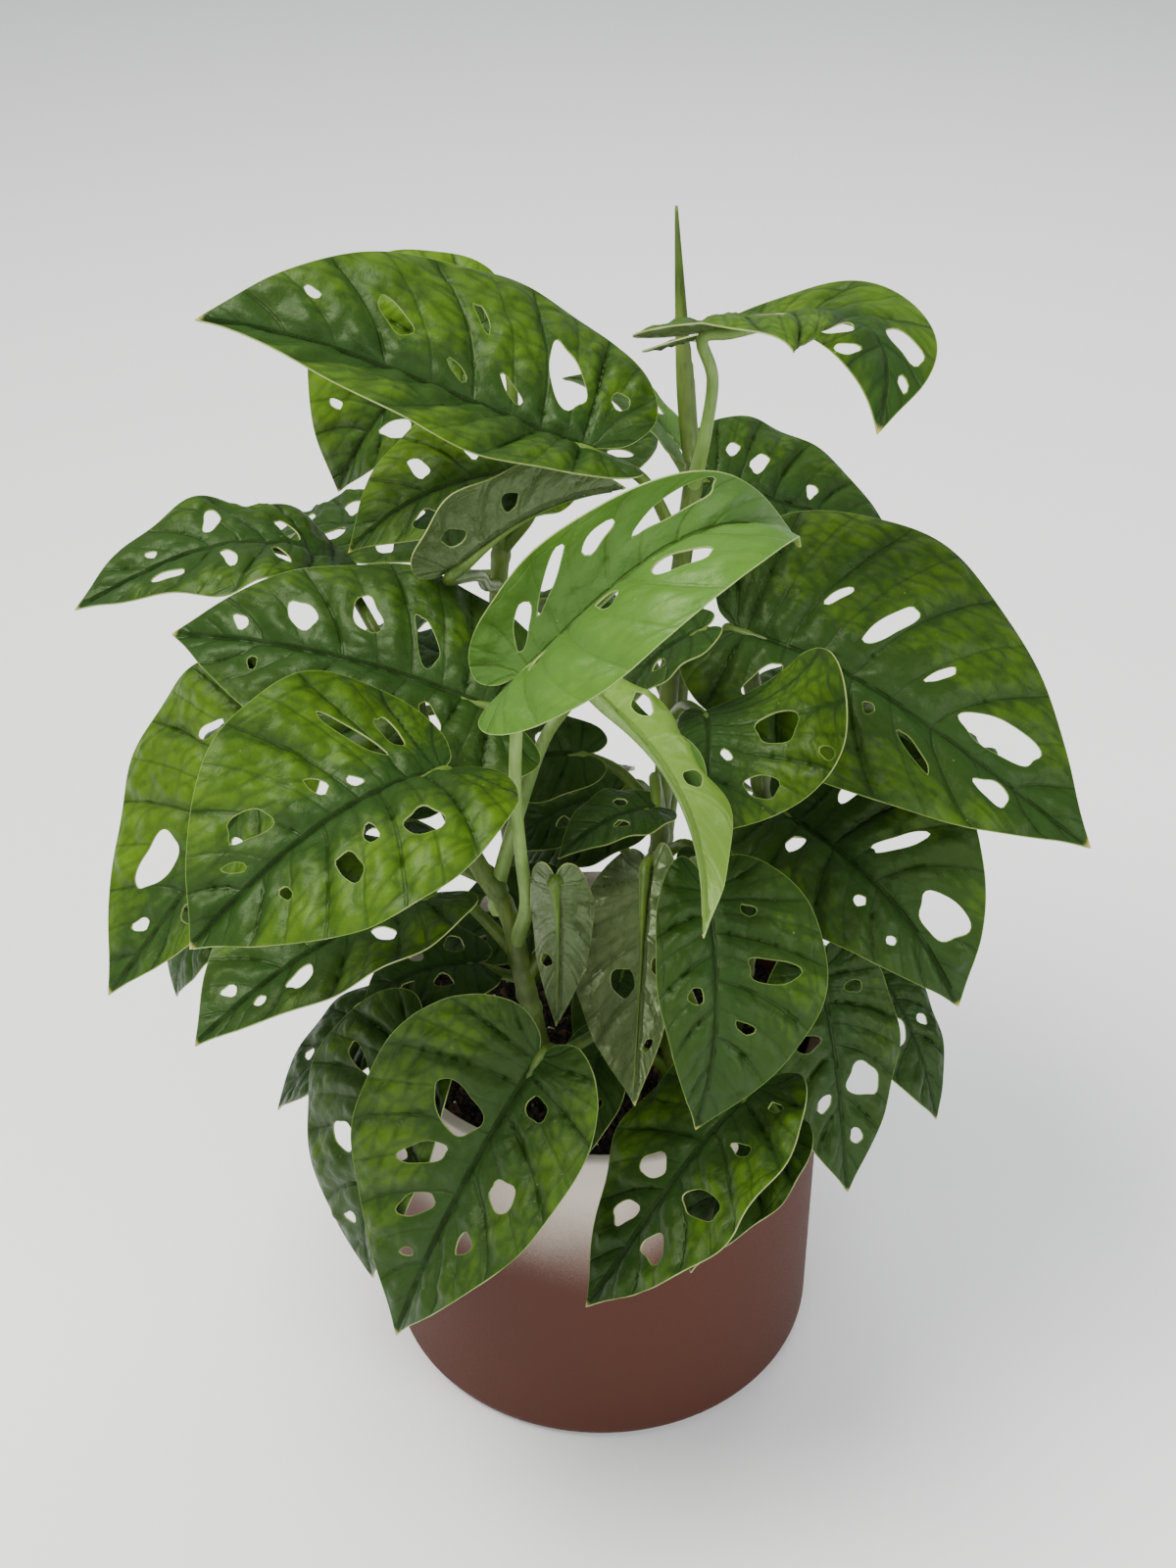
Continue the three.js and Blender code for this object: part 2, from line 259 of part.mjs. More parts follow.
   "stem": ["back_right", 0.35], "via": [[42, 60, 184]], "holes": "b"},
  {"name": "side_right", "base": [104, 34, 246], "tip": [168, 58, 196], "roll": 4, "wide": [30, 30],
   "arch": 14, "skew": 0, "fold": [12, 12], "curl": [-20, -20], "twist": 0, "lobe": 1, "wave": 1.5,
   "stem": ["right", 0.7], "via": [[80, 24, 244]], "holes": "b"}];

// The rolled new leaf at the top: axis points and radii.
const SPEAR = {"path": [[28, 18, 377], [26, 21, 396], [24, 24, 424], [22, 24, 454]],
               "radius": [3.2, 3, 1.9, 0.5]};

const rad = degrees => degrees * Math.PI / 180;
const vec = point => new THREE.Vector3(...point);

// The point at t (0 to 1) of the smooth curve through a path's points.
function along(path, t) {
  return new THREE.CatmullRomCurve3(path.map(vec), false, "catmullrom", 0.5).getPoint(t);
}

// The same for a list of plain numbers.
function spline(values, t) {
  const last = values.length - 1;
  const i = Math.min(Math.floor(t * last), last - 1);
  const f = t * last - i;
  const [b, c] = [values[i], values[i + 1]];
  const a = i > 0 ? values[i - 1] : 2 * b - c;
  const d = i + 2 <= last ? values[i + 2] : 2 * c - b;
  return 0.5 * (2 * b + (c - a) * f + (2 * a - 5 * b + 4 * c - d) * f ** 2
    + (3 * b - a - 3 * c + d) * f ** 3);
}

function solid(positions, triangles) {
  const body = new wasm.Manifold(new wasm.Mesh({
    numProp: 3, vertProperties: new Float32Array(positions.flatMap(p => [p.x, p.y, p.z])),
    triVerts: new Uint32Array(triangles.flat())}));
  if (body.status() !== "NoError") throw new Error(`not closed: ${body.status()}`);
  return body;
}

function mesh(name, body, color, roughness) {
  const { vertProperties, triVerts } = body.getMesh();
  const geometry = new THREE.BufferGeometry();
  geometry.setAttribute("position", new THREE.Float32BufferAttribute(vertProperties, 3));
  geometry.setIndex(Array.from(triVerts));
  geometry.computeVertexNormals();
  const material = new THREE.MeshStandardMaterial({ color, roughness, metalness: 0 });
  const made = new THREE.Mesh(geometry, material);
  made.name = name;
  return made;
}

// A tapering rod along a path, with flat ends.
function rod(path, radii, steps, sides) {
  const points = [];
  const triangles = [];
  let across = null;
  for (let i = 0; i <= steps; i++) {
    const t = i / steps;
    const step = 0.25 / steps;
    const at = along(path, t);
    const ahead = along(path, Math.min(1, t + step)).sub(along(path, Math.max(0, t - step))).normalize();
    across ??= new THREE.Vector3(0.3, 0.5, Math.abs(ahead.z) > 0.8 ? 0 : 1);
    across = across.clone().addScaledVector(ahead, -across.dot(ahead)).normalize();
    const third = new THREE.Vector3().crossVectors(ahead, across);
    const radius = spline(radii, t);
    for (let k = 0; k < sides; k++) {
      const turn = 2 * Math.PI * k / sides;
      points.push(at.clone().addScaledVector(across, radius * Math.cos(turn))
        .addScaledVector(third, radius * Math.sin(turn)));
    }
  }
  for (let i = 0; i < steps; i++) {
    for (let k = 0; k < sides; k++) {
      const [a, b] = [i * sides + k, i * sides + (k + 1) % sides];
      triangles.push([a, b, b + sides], [a, b + sides, a + sides]);
    }
  }
  const end = steps * sides;
  for (let k = 1; k < sides - 1; k++) triangles.push([0, k + 1, k], [end, end + k, end + k + 1]);
  return solid(points, triangles);
}

// A closed profile (radius, height) turned about Z.
function turned(profile) {
  const geometry = new THREE.LatheGeometry(profile.map(p => new THREE.Vector2(...p)), POT_SIDES);
  geometry.rotateX(Math.PI / 2);
  geometry.deleteAttribute("normal");
  geometry.deleteAttribute("uv");
  const merged = mergeVertices(geometry, 1e-4);
  const at = merged.getAttribute("position");
  const points = Array.from({ length: at.count },
    (_, i) => new THREE.Vector3().fromBufferAttribute(at, i));
  const triangles = [];
  for (let i = 0; i < merged.index.count; i += 3) {
    const [a, b, c] = [0, 1, 2].map(k => merged.index.getX(i + k));
    if (a !== b && b !== c && c !== a) triangles.push([a, b, c]);
  }
  return solid(points, triangles);
}

// A leaf's base, the way its midrib points, the way its upper face looks, and its length.
function leafFrame(leaf) {
  const base = vec(leaf.base);
  const ahead = vec(leaf.tip).sub(base);
  const length = ahead.length();
  ahead.normalize();
  const flat = new THREE.Vector3(0, 0, 1).addScaledVector(ahead, -ahead.z).normalize();
  const side = new THREE.Vector3().crossVectors(flat, ahead);
  const up = flat.multiplyScalar(Math.cos(rad(leaf.roll)))
    .addScaledVector(side, Math.sin(rad(leaf.roll)));
  return { base, ahead, up, length };
}

// The point in space of (x, y) in the leaf's plan: the midrib arches, each half folds up from
// it and curls, the whole twists, and the margin waves.
function onLeaf(leaf, index, side, x, y) {
  const { base, ahead, up, length } = leafFrame(leaf);
  const { arch, skew } = leaf;
  const u = Math.min(Math.max(x, 0), 1);
  const lean = 1 + skew * (2 * u - 1);
  const slope = arch * (4 * (1 - 2 * u) * lean + 8 * skew * u * (1 - u));
  const rise = x < 0 ? slope * x : arch * 4 * u * (1 - u) * lean;
  const forward = ahead.clone().multiplyScalar(length).addScaledVector(up, slope).normalize();
  const level = up.clone().addScaledVector(forward, -up.dot(forward)).normalize();
  const across = new THREE.Vector3().crossVectors(level, forward);
  const turn = rad(leaf.twist) * (u - 0.5);
  const normal = level.multiplyScalar(Math.cos(turn)).addScaledVector(across, Math.sin(turn));
  const out = new THREE.Vector3().crossVectors(normal, forward);
  const half = side > 0 ? 0 : 1;
  const fold = rad(leaf.fold[half]);
  const curl = rad(leaf.curl[half]) || 1e-4;
  const width = leaf.wide[half];
  const reach = width / curl * (Math.sin(fold + curl * y) - Math.sin(fold));
  const lift = width / curl * (Math.cos(fold) - Math.cos(fold + curl * y));
  const wave = leaf.wave * y * y * Math.sin(2 * Math.PI * (2.6 * x + 0.37 * index + 0.25 * (1 - side)));
  return base.addScaledVector(ahead, length * x).addScaledVector(up, rise)
    .addScaledVector(out, side * reach).addScaledVector(normal, lift + wave);
}

function leafNormal(leaf, index, side, x, y) {
  const e = 0.01;
  const dx = onLeaf(leaf, index, side, x + e, y).sub(onLeaf(leaf, index, side, x - e, y));
  const dy = onLeaf(leaf, index, side, x, y + e).sub(onLeaf(leaf, index, side, x, Math.max(0, y - e)));
  return new THREE.Vector3().crossVectors(dx, dy).multiplyScalar(side).normalize();
}

// A point of the plan: r of the way from the midrib to margin point t along its side vein.
function veinPoint(leaf, t, r) {
  const start = Math.min(Math.max(spline(VEIN_START, t), 0), 1);
  const x = spline(MARGIN_X, t);
  const end = x < 0 ? x * leaf.lobe : x;
  return [start + (end - start) * (0.4 * r + 0.6 * r * r), spline(MARGIN_Y, t) * r];
}

// A hole as a polygon as large as the rounded slot it stands for.
function holeOutline(leaf, length, hole, corners) {
  const [side, x0, y0, x1, y1, width] = hole;
  const half = leaf.wide[side > 0 ? 0 : 1];
  const [cx, cy] = [(x0 + x1) / 2 * length, (y0 + y1) / 2 * half];
  const [ux, uy] = [(x1 - x0) / 2 * length, (y1 - y0) / 2 * half];
  const reach = Math.hypot(ux, uy);
  const wider = Math.sqrt(2 * Math.PI / corners / Math.sin(2 * Math.PI / corners));
  return Array.from({ length: corners }, (_, k) => {
    const turn = 2 * Math.PI * k / corners;
    const across = wider * Math.sin(turn) * width / 2 * (1 + 0.2 * Math.cos(turn)) / reach;
    const ahead = wider * Math.cos(turn);
    return [(cx + ux * ahead - uy * across) / length, (cy + uy * ahead + ux * across) / half];
  });
}

// Swaps the diagonal of each pair of neighbouring triangles to the rounder way, and keeps
// the outlines.
function rounder(points, triangles, kept) {
  const key = (a, b) => a < b ? `${a} ${b}` : `${b} ${a}`;
  const turn = (a, b, c) => (points[b][0] - points[a][0]) * (points[c][1] - points[a][1])
    - (points[b][1] - points[a][1]) * (points[c][0] - points[a][0]);
  const angle = (a, b, c) => {
    const [u, v] = [[points[a][0] - points[c][0], points[a][1] - points[c][1]],
                    [points[b][0] - points[c][0], points[b][1] - points[c][1]]];
    return Math.acos((u[0] * v[0] + u[1] * v[1]) / (Math.hypot(...u) * Math.hypot(...v)));
  };
  for (let pass = 0; pass < 40; pass++) {
    const owner = new Map();
    const touched = new Set();
    let swaps = 0;
    triangles.forEach((t, i) => [0, 1, 2].forEach(k => {
      const id = key(t[k], t[(k + 1) % 3]);
      owner.set(id, [...(owner.get(id) ?? []), [i, t[(k + 2) % 3]]]);
    }));
    for (const [id, [one, two]] of owner) {
      if (!two || kept.has(id) || touched.has(one[0]) || touched.has(two[0])) continue;
      const [a, b] = id.split(" ").map(Number);
      const [c, d] = [one[1], two[1]];
      if (angle(a, b, c) + angle(a, b, d) <= Math.PI + 1e-6) continue;
      if (turn(c, d, a) * turn(c, d, b) >= -1e-9) continue;
      triangles[one[0]] = turn(c, d, a) > 0 ? [c, d, a] : [d, c, a];
      triangles[two[0]] = turn(c, d, b) > 0 ? [c, d, b] : [d, c, b];
      touched.add(one[0]).add(two[0]);
      swaps += 1;
    }
    if (!swaps) break;
  }
  return triangles;
}

function inside(p, ring) {
  let odd = false;
  ring.forEach((a, i) => {
    const b = ring[(i + 1) % ring.length];
    const spans = a[1] > p[1] !== b[1] > p[1];
    if (spans && p[0] < (b[0] - a[0]) * (p[1] - a[1]) / (b[1] - a[1]) + a[0]) odd = !odd;
  });
  return odd;
}

// Half of a leaf in its plan, with its holes, cut into triangles.
function halfPlan(leaf, length, side) {
  const half = leaf.wide[side > 0 ? 0 : 1];
  const holes = (PATTERNS[leaf.holes] ?? leaf.holes).filter(hole => hole[0] === side)
    .map(hole => {
      const size = Math.hypot((hole[3] - hole[1]) * length, (hole[4] - hole[2]) * half) + hole[5];
      return holeOutline(leaf, length, hole, size > 18 ? 6 : size > 11 ? 5 : 4);
    });
  const rim = MARGIN_X.map((_, i) => veinPoint(leaf, i / (MARGIN_X.length - 1), 1));
  const contour = [...rim, [0.8, 0], [0.6, 0], [0.4, 0], [0.2, 0]];
  const middle = [0.4, 0.6].map(t => veinPoint(leaf, t, 0.55)).filter(p =>
    holes.every(hole => hole.every(q =>
      Math.hypot((p[0] - q[0]) * length, (p[1] - q[1]) * half) > 3.5)
      && !inside(p, hole)));
  const flat = points => points.map(p => new THREE.Vector2(p[0] * length, p[1] * half));
  const points = [...contour, ...holes.flat(), ...middle];
  for (const [i, hole] of holes.entries()) {
    for (const p of hole) {
      if (p[1] * half < 1.2 || !inside(p, contour)) {
        throw new Error(`${leaf.name} hole ${side} ${i} leaves the blade`);
      }
    }
  }
  const faces = THREE.ShapeUtils.triangulateShape(flat(contour),
    [...holes.map(flat), ...middle.map(p => flat([p]))]);
  const kept = new Set();
  let first = 0;
  for (const ring of [contour, ...holes]) {
    ring.forEach((_, k) => {
      const [a, b] = [first + k, first + (k + 1) % ring.length];
      kept.add(a < b ? `${a} ${b}` : `${b} ${a}`);
    });
    first += ring.length;
  }
  const plan = points.map(p => [p[0] * length, p[1] * half]);
  const ccw = faces.map(([a, b, c]) => (plan[b][0] - plan[a][0]) * (plan[c][1] - plan[a][1])
    - (plan[b][1] - plan[a][1]) * (plan[c][0] - plan[a][0]) > 0 ? [a, b, c] : [a, c, b]);
  return { points, triangles: rounder(plan, ccw, kept) };
}

// The blade as a solid: both faces cut into triangles alike, and walls round the margin and
// the holes.
function blade(leaf, index) {
  const { length } = leafFrame(leaf);
  const points = [];
  const normals = [];
  const top = [];
  const ids = new Map();
  for (const side of [1, -1]) {
    const plan = halfPlan(leaf, length, side);
    const places = plan.points.map(([x, y]) => {
      const id = y === 0 ? `mid ${x}` : `${side} ${x} ${y}`;
      if (!ids.has(id)) {
        ids.set(id, points.length);
        points.push(onLeaf(leaf, index, side, x, y));
        normals.push(new THREE.Vector3());
      }
      normals[ids.get(id)].add(leafNormal(leaf, index, side, x, y));
      return ids.get(id);
    });
    for (const [a, b, c] of plan.triangles) {
      top.push(side > 0 ? [places[a], places[b], places[c]] : [places[a], places[c], places[b]]);
    }
  }
  const count = points.length;
  const both = [1, -1].flatMap(way => points.map((p, i) =>
    p.clone().addScaledVector(normals[i].clone().normalize(), way * BLADE / 2)));
  const edges = new Set(top.flatMap(([a, b, c]) => [`${a} ${b}`, `${b} ${c}`, `${c} ${a}`]));
  const walls = [...edges].map(id => id.split(" ").map(Number))
    .filter(([a, b]) => !edges.has(`${b} ${a}`))
    .flatMap(([a, b]) => [[b, a, a + count], [b, a + count, b + count]]);
  return solid(both, [...top, ...top.map(([a, b, c]) => [a + count, c + count, b + count]), ...walls]);
}

// The leaf's stalk, from inside its stem to the underside of the blade.
function stalk(leaf, index) {
  const [stem, height] = leaf.stem;
  const foot = along(VINES[stem].path, height);
  const normal = leafNormal(leaf, index, 1, 0.02, 0.02)
    .add(leafNormal(leaf, index, -1, 0.02, 0.02)).normalize();
  const base = vec(leaf.base);
  const end = onLeaf(leaf, index, 1, 0.06, 0).addScaledVector(normal, -0.7);
  const neck = base.clone().addScaledVector(normal, -3).addScaledVector(end.clone().sub(base), -0.4);
  const path = [foot, ...leaf.via.map(vec), neck, end].map(p => p.toArray());
  return rod(path, [PETIOLE[0], PETIOLE[1], 1], path.length, 4);
}

// A stem, or with extra the space that it takes.
function stemBody(name, extra) {
  const { path, radius } = VINES[name];
  const last = path.length - 1;
  const reached = path.map(([x, y, z], i) => [x, y, i === 0 ? z - extra : i === last ? z + extra : z]);
  return rod(reached, [radius + extra, radius * 0.8 + extra], 7, 6);
}

function leafBody(leaf, index) {
  return blade(leaf, index).add(stalk(leaf, index).subtract(stemBody(leaf.stem[0], GAP)));
}

const inner = POT_RADIUS - POT_WALL;
const pot = turned([
  [0, 0], [POT_RADIUS - FOOT_FILLET, 0], [POT_RADIUS - 2.6, 1.6], [POT_RADIUS - 0.6, 4.4],
  [POT_RADIUS, FOOT_FILLET], [POT_RADIUS, POT_HEIGHT - 1.2], [POT_RADIUS - 1.4, POT_HEIGHT],
  [inner + 1.4, POT_HEIGHT], [inner, POT_HEIGHT - 1.2], [inner, POT_FLOOR + 5],
  [inner - 5, POT_FLOOR], [0, POT_FLOOR]]);

const edge = inner - GAP;
let soil = turned([[0, POT_FLOOR + GAP], [edge - 5, POT_FLOOR + GAP], [edge, POT_FLOOR + 5 + GAP],
  [edge, SOIL_RIM], [60, SOIL_RIM + 3], [0, SOIL_TOP]]);

const plant = new THREE.Group();
for (const name of Object.keys(VINES)) {
  soil = soil.subtract(stemBody(name, GAP));
  plant.add(mesh(`stem_${name}`, stemBody(name, 0), 0x5d7a35, 0.7));
}
plant.add(mesh("pot", pot, 0x7a4536, 0.8));
plant.add(mesh("soil", soil, 0x2c2119, 0.95));
plant.add(mesh("spear_leaf", rod(SPEAR.path, SPEAR.radius, 8, 6), 0x7f9a4a, 0.6));
LEAVES.forEach((leaf, index) => {
  plant.add(mesh(`leaf_${leaf.name}`, leafBody(leaf, index), 0x35562a, 0.5));
});

export default plant;
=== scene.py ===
# %% [markdown]
# # A potted swiss cheese vine
#
# The real object is a house plant: seven green vines stand in potting soil in a plain clay
# pot, and each leaf is a heart-shaped blade with oval holes on a long stalk. The packed frame
# holds one plain solid for each leaf, stem, the soil and the pot. The solids could be painted
# as they are, but their faces are too coarse for quilted leaves with clean holes. So this
# lesson grows the leaves, stems and pot again from the same measures, each in the place and
# size of its solid, and gives all of them their finish.

# %% Load the frame
import math

import bmesh
import bpy
import numpy as np
from mathutils.geometry import delaunay_2d_cdt
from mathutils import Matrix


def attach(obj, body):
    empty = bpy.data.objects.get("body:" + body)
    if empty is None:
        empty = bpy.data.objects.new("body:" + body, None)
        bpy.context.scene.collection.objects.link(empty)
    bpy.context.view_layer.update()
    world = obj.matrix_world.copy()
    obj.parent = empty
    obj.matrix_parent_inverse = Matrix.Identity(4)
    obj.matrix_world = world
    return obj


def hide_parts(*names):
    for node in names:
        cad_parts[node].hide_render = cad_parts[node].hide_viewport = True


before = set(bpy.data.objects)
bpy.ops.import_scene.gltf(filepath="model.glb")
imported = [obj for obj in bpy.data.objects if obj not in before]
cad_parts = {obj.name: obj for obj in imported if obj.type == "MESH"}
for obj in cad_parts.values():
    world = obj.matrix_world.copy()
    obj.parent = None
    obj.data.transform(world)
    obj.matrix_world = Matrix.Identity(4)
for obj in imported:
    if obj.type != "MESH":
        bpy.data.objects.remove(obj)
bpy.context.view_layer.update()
scene = bpy.context.scene
MM = 0.001  # one millimetre, in the frame's metres

# %% [markdown]
# ## Where the viewer stands
#
# A photograph fixes a camera by what it shows: the pot's rim and foot are circles of known
# size, and the shapes of their two ellipses give the height and the tilt. A camera could also
# be moved by eye until the plant fits, but then a longer lens from further off would seem as
# good. This one stands 63 cm in front of the pot's axis and 69 cm above its foot, and looks
# down by 35 degrees.

# %% Camera
FOCAL_LENGTH = 49.5  # millimetres, for a frame whose long side is 36
VIEWER_AWAY = 0.629  # metres in front of the pot's axis
VIEWER_HIGH = 0.688  # metres above the pot's foot
LOOK_DOWN = 34.73  # degrees
LOOK_LEFT = 0.48  # degrees

lens = bpy.data.cameras.new("viewer")
lens.lens = FOCAL_LENGTH
lens.sensor_width = 36
viewer = bpy.data.objects.new("viewer", lens)
viewer.location = (0, -VIEWER_AWAY, VIEWER_HIGH)
viewer.rotation_euler = (math.radians(90 - LOOK_DOWN), 0, math.radians(LOOK_LEFT))
scene.collection.objects.link(viewer)
scene.camera = viewer
print("camera at", tuple(viewer.location), "focal length", lens.lens)

# %% [markdown]
# ## Writing node trees
#
# Materials and Geometry Nodes are both trees of small boxes. They could be wired by hand in
# the editor, but a written tree can be read and mended line by line. A helper that adds a box,
# sets what is a number and links what is another box's output lets a tree read like a sum.


# %% A short way to write node trees
class Tree:
    """Adds nodes to one tree. An input takes a plain value or another node's output."""

    def __init__(self, nodes):
        self.nodes = nodes

    def add(self, kind, inputs=None, **settings):
        node = self.nodes.nodes.new(kind)
        for key, value in settings.items():
            setattr(node, key, value)
        for key, value in (inputs or {}).items():
            self.feed(node.inputs[key], value)
        return node

    def feed(self, socket, value):
        if isinstance(value, bpy.types.NodeSocket):
            self.nodes.links.new(value, socket)
        else:
            socket.default_value = value

    def calc(self, operation, *values, clamp=False):
        node = self.add("ShaderNodeMath", dict(enumerate(values)), operation=operation)
        node.use_clamp = clamp
        return node.outputs[0]

    def fade(self, value, start, end, low=0.0, high=1.0):
        """low before start, high after end, and a soft step between them."""
        inputs = dict(enumerate([value, start, end, low, high]))
        return self.add("ShaderNodeMapRange", inputs, interpolation_type="SMOOTHSTEP").outputs[0]

    def mix(self, share, one, other, blend="MIX"):
        inputs = {0: share, 6: one, 7: other}
        node = self.add("ShaderNodeMix", inputs, data_type="RGBA", blend_type=blend)
        return node.outputs[2]

    def noise(self, place, scale, detail=2.0, rough=0.5, warp=0.0):
        inputs = {"Vector": place, "Scale": scale, "Detail": detail, "Roughness": rough,
                  "Distortion": warp}
        return self.add("ShaderNodeTexNoise", inputs).outputs[0]

    def value(self, name):
        """A number that the mesh carries, in a material."""
        return self.add("ShaderNodeAttribute", attribute_name=name).outputs["Fac"]

    def here(self):
        """The point's place on the object, in a material."""
        return self.add("ShaderNodeTexCoord").outputs["Object"]

    def number(self, name):
        """A number that the mesh carries, in Geometry Nodes."""
        return self.add("GeometryNodeInputNamedAttribute", {"Name": name}).outputs[0]


print("a tree can:", [name for name in vars(Tree) if name[0] != "_"])

# %% [markdown]
# ## Growing a mesh by a rule
#
# All the leaves of a plant follow one rule with other sizes, and so do its stalks and the
# crumbs of its soil. Modelled one by one they would drift apart, so each rule is a Geometry
# Nodes tree with a named input for each size. It runs on a seed mesh, and what it grows is
# kept as a plain mesh, which other programs can read without the tree.


# %% Helpers that grow a mesh and set it in its place
def new_tree(name, **sizes):
    """A geometry tree with a named input for each size, and its tree, input and output."""
    group = bpy.data.node_groups.new(name, "GeometryNodeTree")
    kinds = {float: "NodeSocketFloat", int: "NodeSocketInt", str: "NodeSocketMaterial"}
    group.interface.new_socket("Geometry", in_out="INPUT", socket_type="NodeSocketGeometry")
    for label, size in sizes.items():
        socket = group.interface.new_socket(label, in_out="INPUT", socket_type=kinds[type(size)])
        if type(size) is not str:
            socket.default_value = size
    group.interface.new_socket("Geometry", in_out="OUTPUT", socket_type="NodeSocketGeometry")
    tree = Tree(group)
    return group, tree, tree.add("NodeGroupInput").outputs, tree.add("NodeGroupOutput").inputs[0]


def grown(name, mesh, group, **sizes):
    """The plain mesh that a tree makes of a seed mesh."""
    seed = bpy.data.objects.new(name + "_seed", mesh)
    scene.collection.objects.link(seed)
    modifier = seed.modifiers.new("growth", "NODES")
    modifier.node_group = group
    for socket in group.interface.items_tree:
        if socket.in_out == "INPUT" and socket.name in sizes:
            modifier[socket.identifier] = sizes[socket.name]
    view = bpy.context.evaluated_depsgraph_get()
    plain = bpy.data.meshes.new_from_object(seed.evaluated_get(view), depsgraph=view,
                                            preserve_all_data_layers=True)
    seed.modifiers.clear()
    bpy.data.objects.remove(seed)
    plain.name = name
    return plain


def placed(name, mesh, slot, *nodes):
    """A finished piece that stands for CAD nodes."""
    piece = bpy.data.objects.new(name, mesh)
    scene.collection.objects.link(piece)
    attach(piece, "root")
    if nodes:
        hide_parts(*nodes)
    return piece


print("growing helpers:", new_tree.__name__, grown.__name__, placed.__name__)

# %% [markdown]
# ## The plant's measures
#
# The same measures as in the solids, in millimetres. A leaf is one row: where its midrib
# starts and ends, how it is turned, how wide each half is, how it arches, folds, curls,
# twists and waves, which stem it grows on, and where its holes are. The fine shapes could
# also be read off the solids' faces, but a measure says what it means, and any point of the
# leaf can be worked out from it.

# %% Measures of the pot and the soil
POT_RADIUS = 85
POT_HEIGHT = 150
POT_WALL = 5
POT_FLOOR = 6
FOOT_FILLET = 7
SOIL_RIM = 131  # soil height at the wall
SOIL_TOP = 137  # and in the middle
print("the soil lies", POT_HEIGHT - SOIL_RIM, "mm under the rim")

# %% Measures of stalks and of a leaf's margin
PETIOLE = [2.7, 2]  # leaf stalk radius at the stem and at the blade

# Half of a leaf's outline, from the base round to the tip: x in leaf lengths, y in half
# widths, and where the side vein that ends at each margin point leaves the midrib.
MARGIN_X = [0, -0.075, -0.115, -0.06, 0.08, 0.27, 0.47, 0.66, 0.82, 0.93, 1]
MARGIN_Y = [0, 0.1, 0.33, 0.63, 0.89, 1, 0.93, 0.7, 0.405, 0.145, 0]
VEIN_START = [0, 0, 0, 0, 0.045, 0.14, 0.28, 0.45, 0.645, 0.84, 1]
print("points of half a margin:", len(MARGIN_X))

# %% Measures of the stems
# Axis points from the foot in the soil to the top, and the radius.
VINES = {
  "tall": {"radius": 4,
           "path": [[14, 8, 100], [18, 8, 170], [21, 7, 230], [24, 9, 310], [30, 12, 372]]},
  "left": {"radius": 4,
           "path": [[-14, -34, 100], [-22, -44, 165], [-28, -52, 211], [-32, -54, 236], [-44, -47, 256],
                    [-56, -34, 278], [-63, -20, 299]]},
  "rim_left": {"radius": 3.5,
               "path": [[-32, -24, 100], [-38, -34, 140], [-42, -46, 172]]},
  "front": {"radius": 3.5,
            "path": [[22, -34, 100], [24, -40, 150], [26, -46, 196], [28, -42, 236]]},
  "right": {"radius": 4,
            "path": [[44, 2, 100], [52, 2, 150], [58, 4, 210], [56, 12, 262], [48, 20, 305]]},
  "back_left": {"radius": 4,
                "path": [[-22, 26, 100], [-30, 34, 160], [-38, 40, 230], [-38, 44, 300], [-34, 48, 340]]},
  "back_right": {"radius": 3.5,
                 "path": [[18, 40, 100], [22, 50, 160], [28, 56, 230], [30, 58, 290]]}}
print("stems:", len(VINES))

# %% Patterns of holes
# A hole is [side, x0, y0, x1, y1, width]: a rounded slot between two points of the leaf's own
# plan. Seen from above, side 1 is left and -1 is right of the midrib. The width is in mm.
PATTERNS = {
  "a": [[1, 0.14, 0.2, 0.06, 0.62, 6], [1, 0.33, 0.2, 0.34, 0.66, 7], [1, 0.55, 0.16, 0.62, 0.5, 5],
        [-1, 0.12, 0.22, 0.1, 0.6, 6], [-1, 0.36, 0.18, 0.4, 0.6, 7], [-1, 0.58, 0.18, 0.66, 0.42, 4]],
  "b": [[1, 0.22, 0.18, 0.2, 0.7, 7], [1, 0.45, 0.16, 0.5, 0.62, 6], [1, 0.7, 0.12, 0.74, 0.3, 4],
        [-1, 0.05, 0.25, 0.02, 0.55, 5], [-1, 0.26, 0.2, 0.26, 0.7, 7], [-1, 0.5, 0.16, 0.56, 0.55, 5]],
  "c": [[1, 0.3, 0.22, 0.3, 0.6, 6], [1, 0.56, 0.16, 0.6, 0.44, 5],
        [-1, 0.16, 0.25, 0.12, 0.6, 6], [-1, 0.42, 0.2, 0.46, 0.52, 5]],
  "d": [[1, 0.4, 0.2, 0.44, 0.5, 5], [-1, 0.26, 0.24, 0.26, 0.54, 5]]}
print("patterns:", {name: len(holes) for name, holes in PATTERNS.items()})

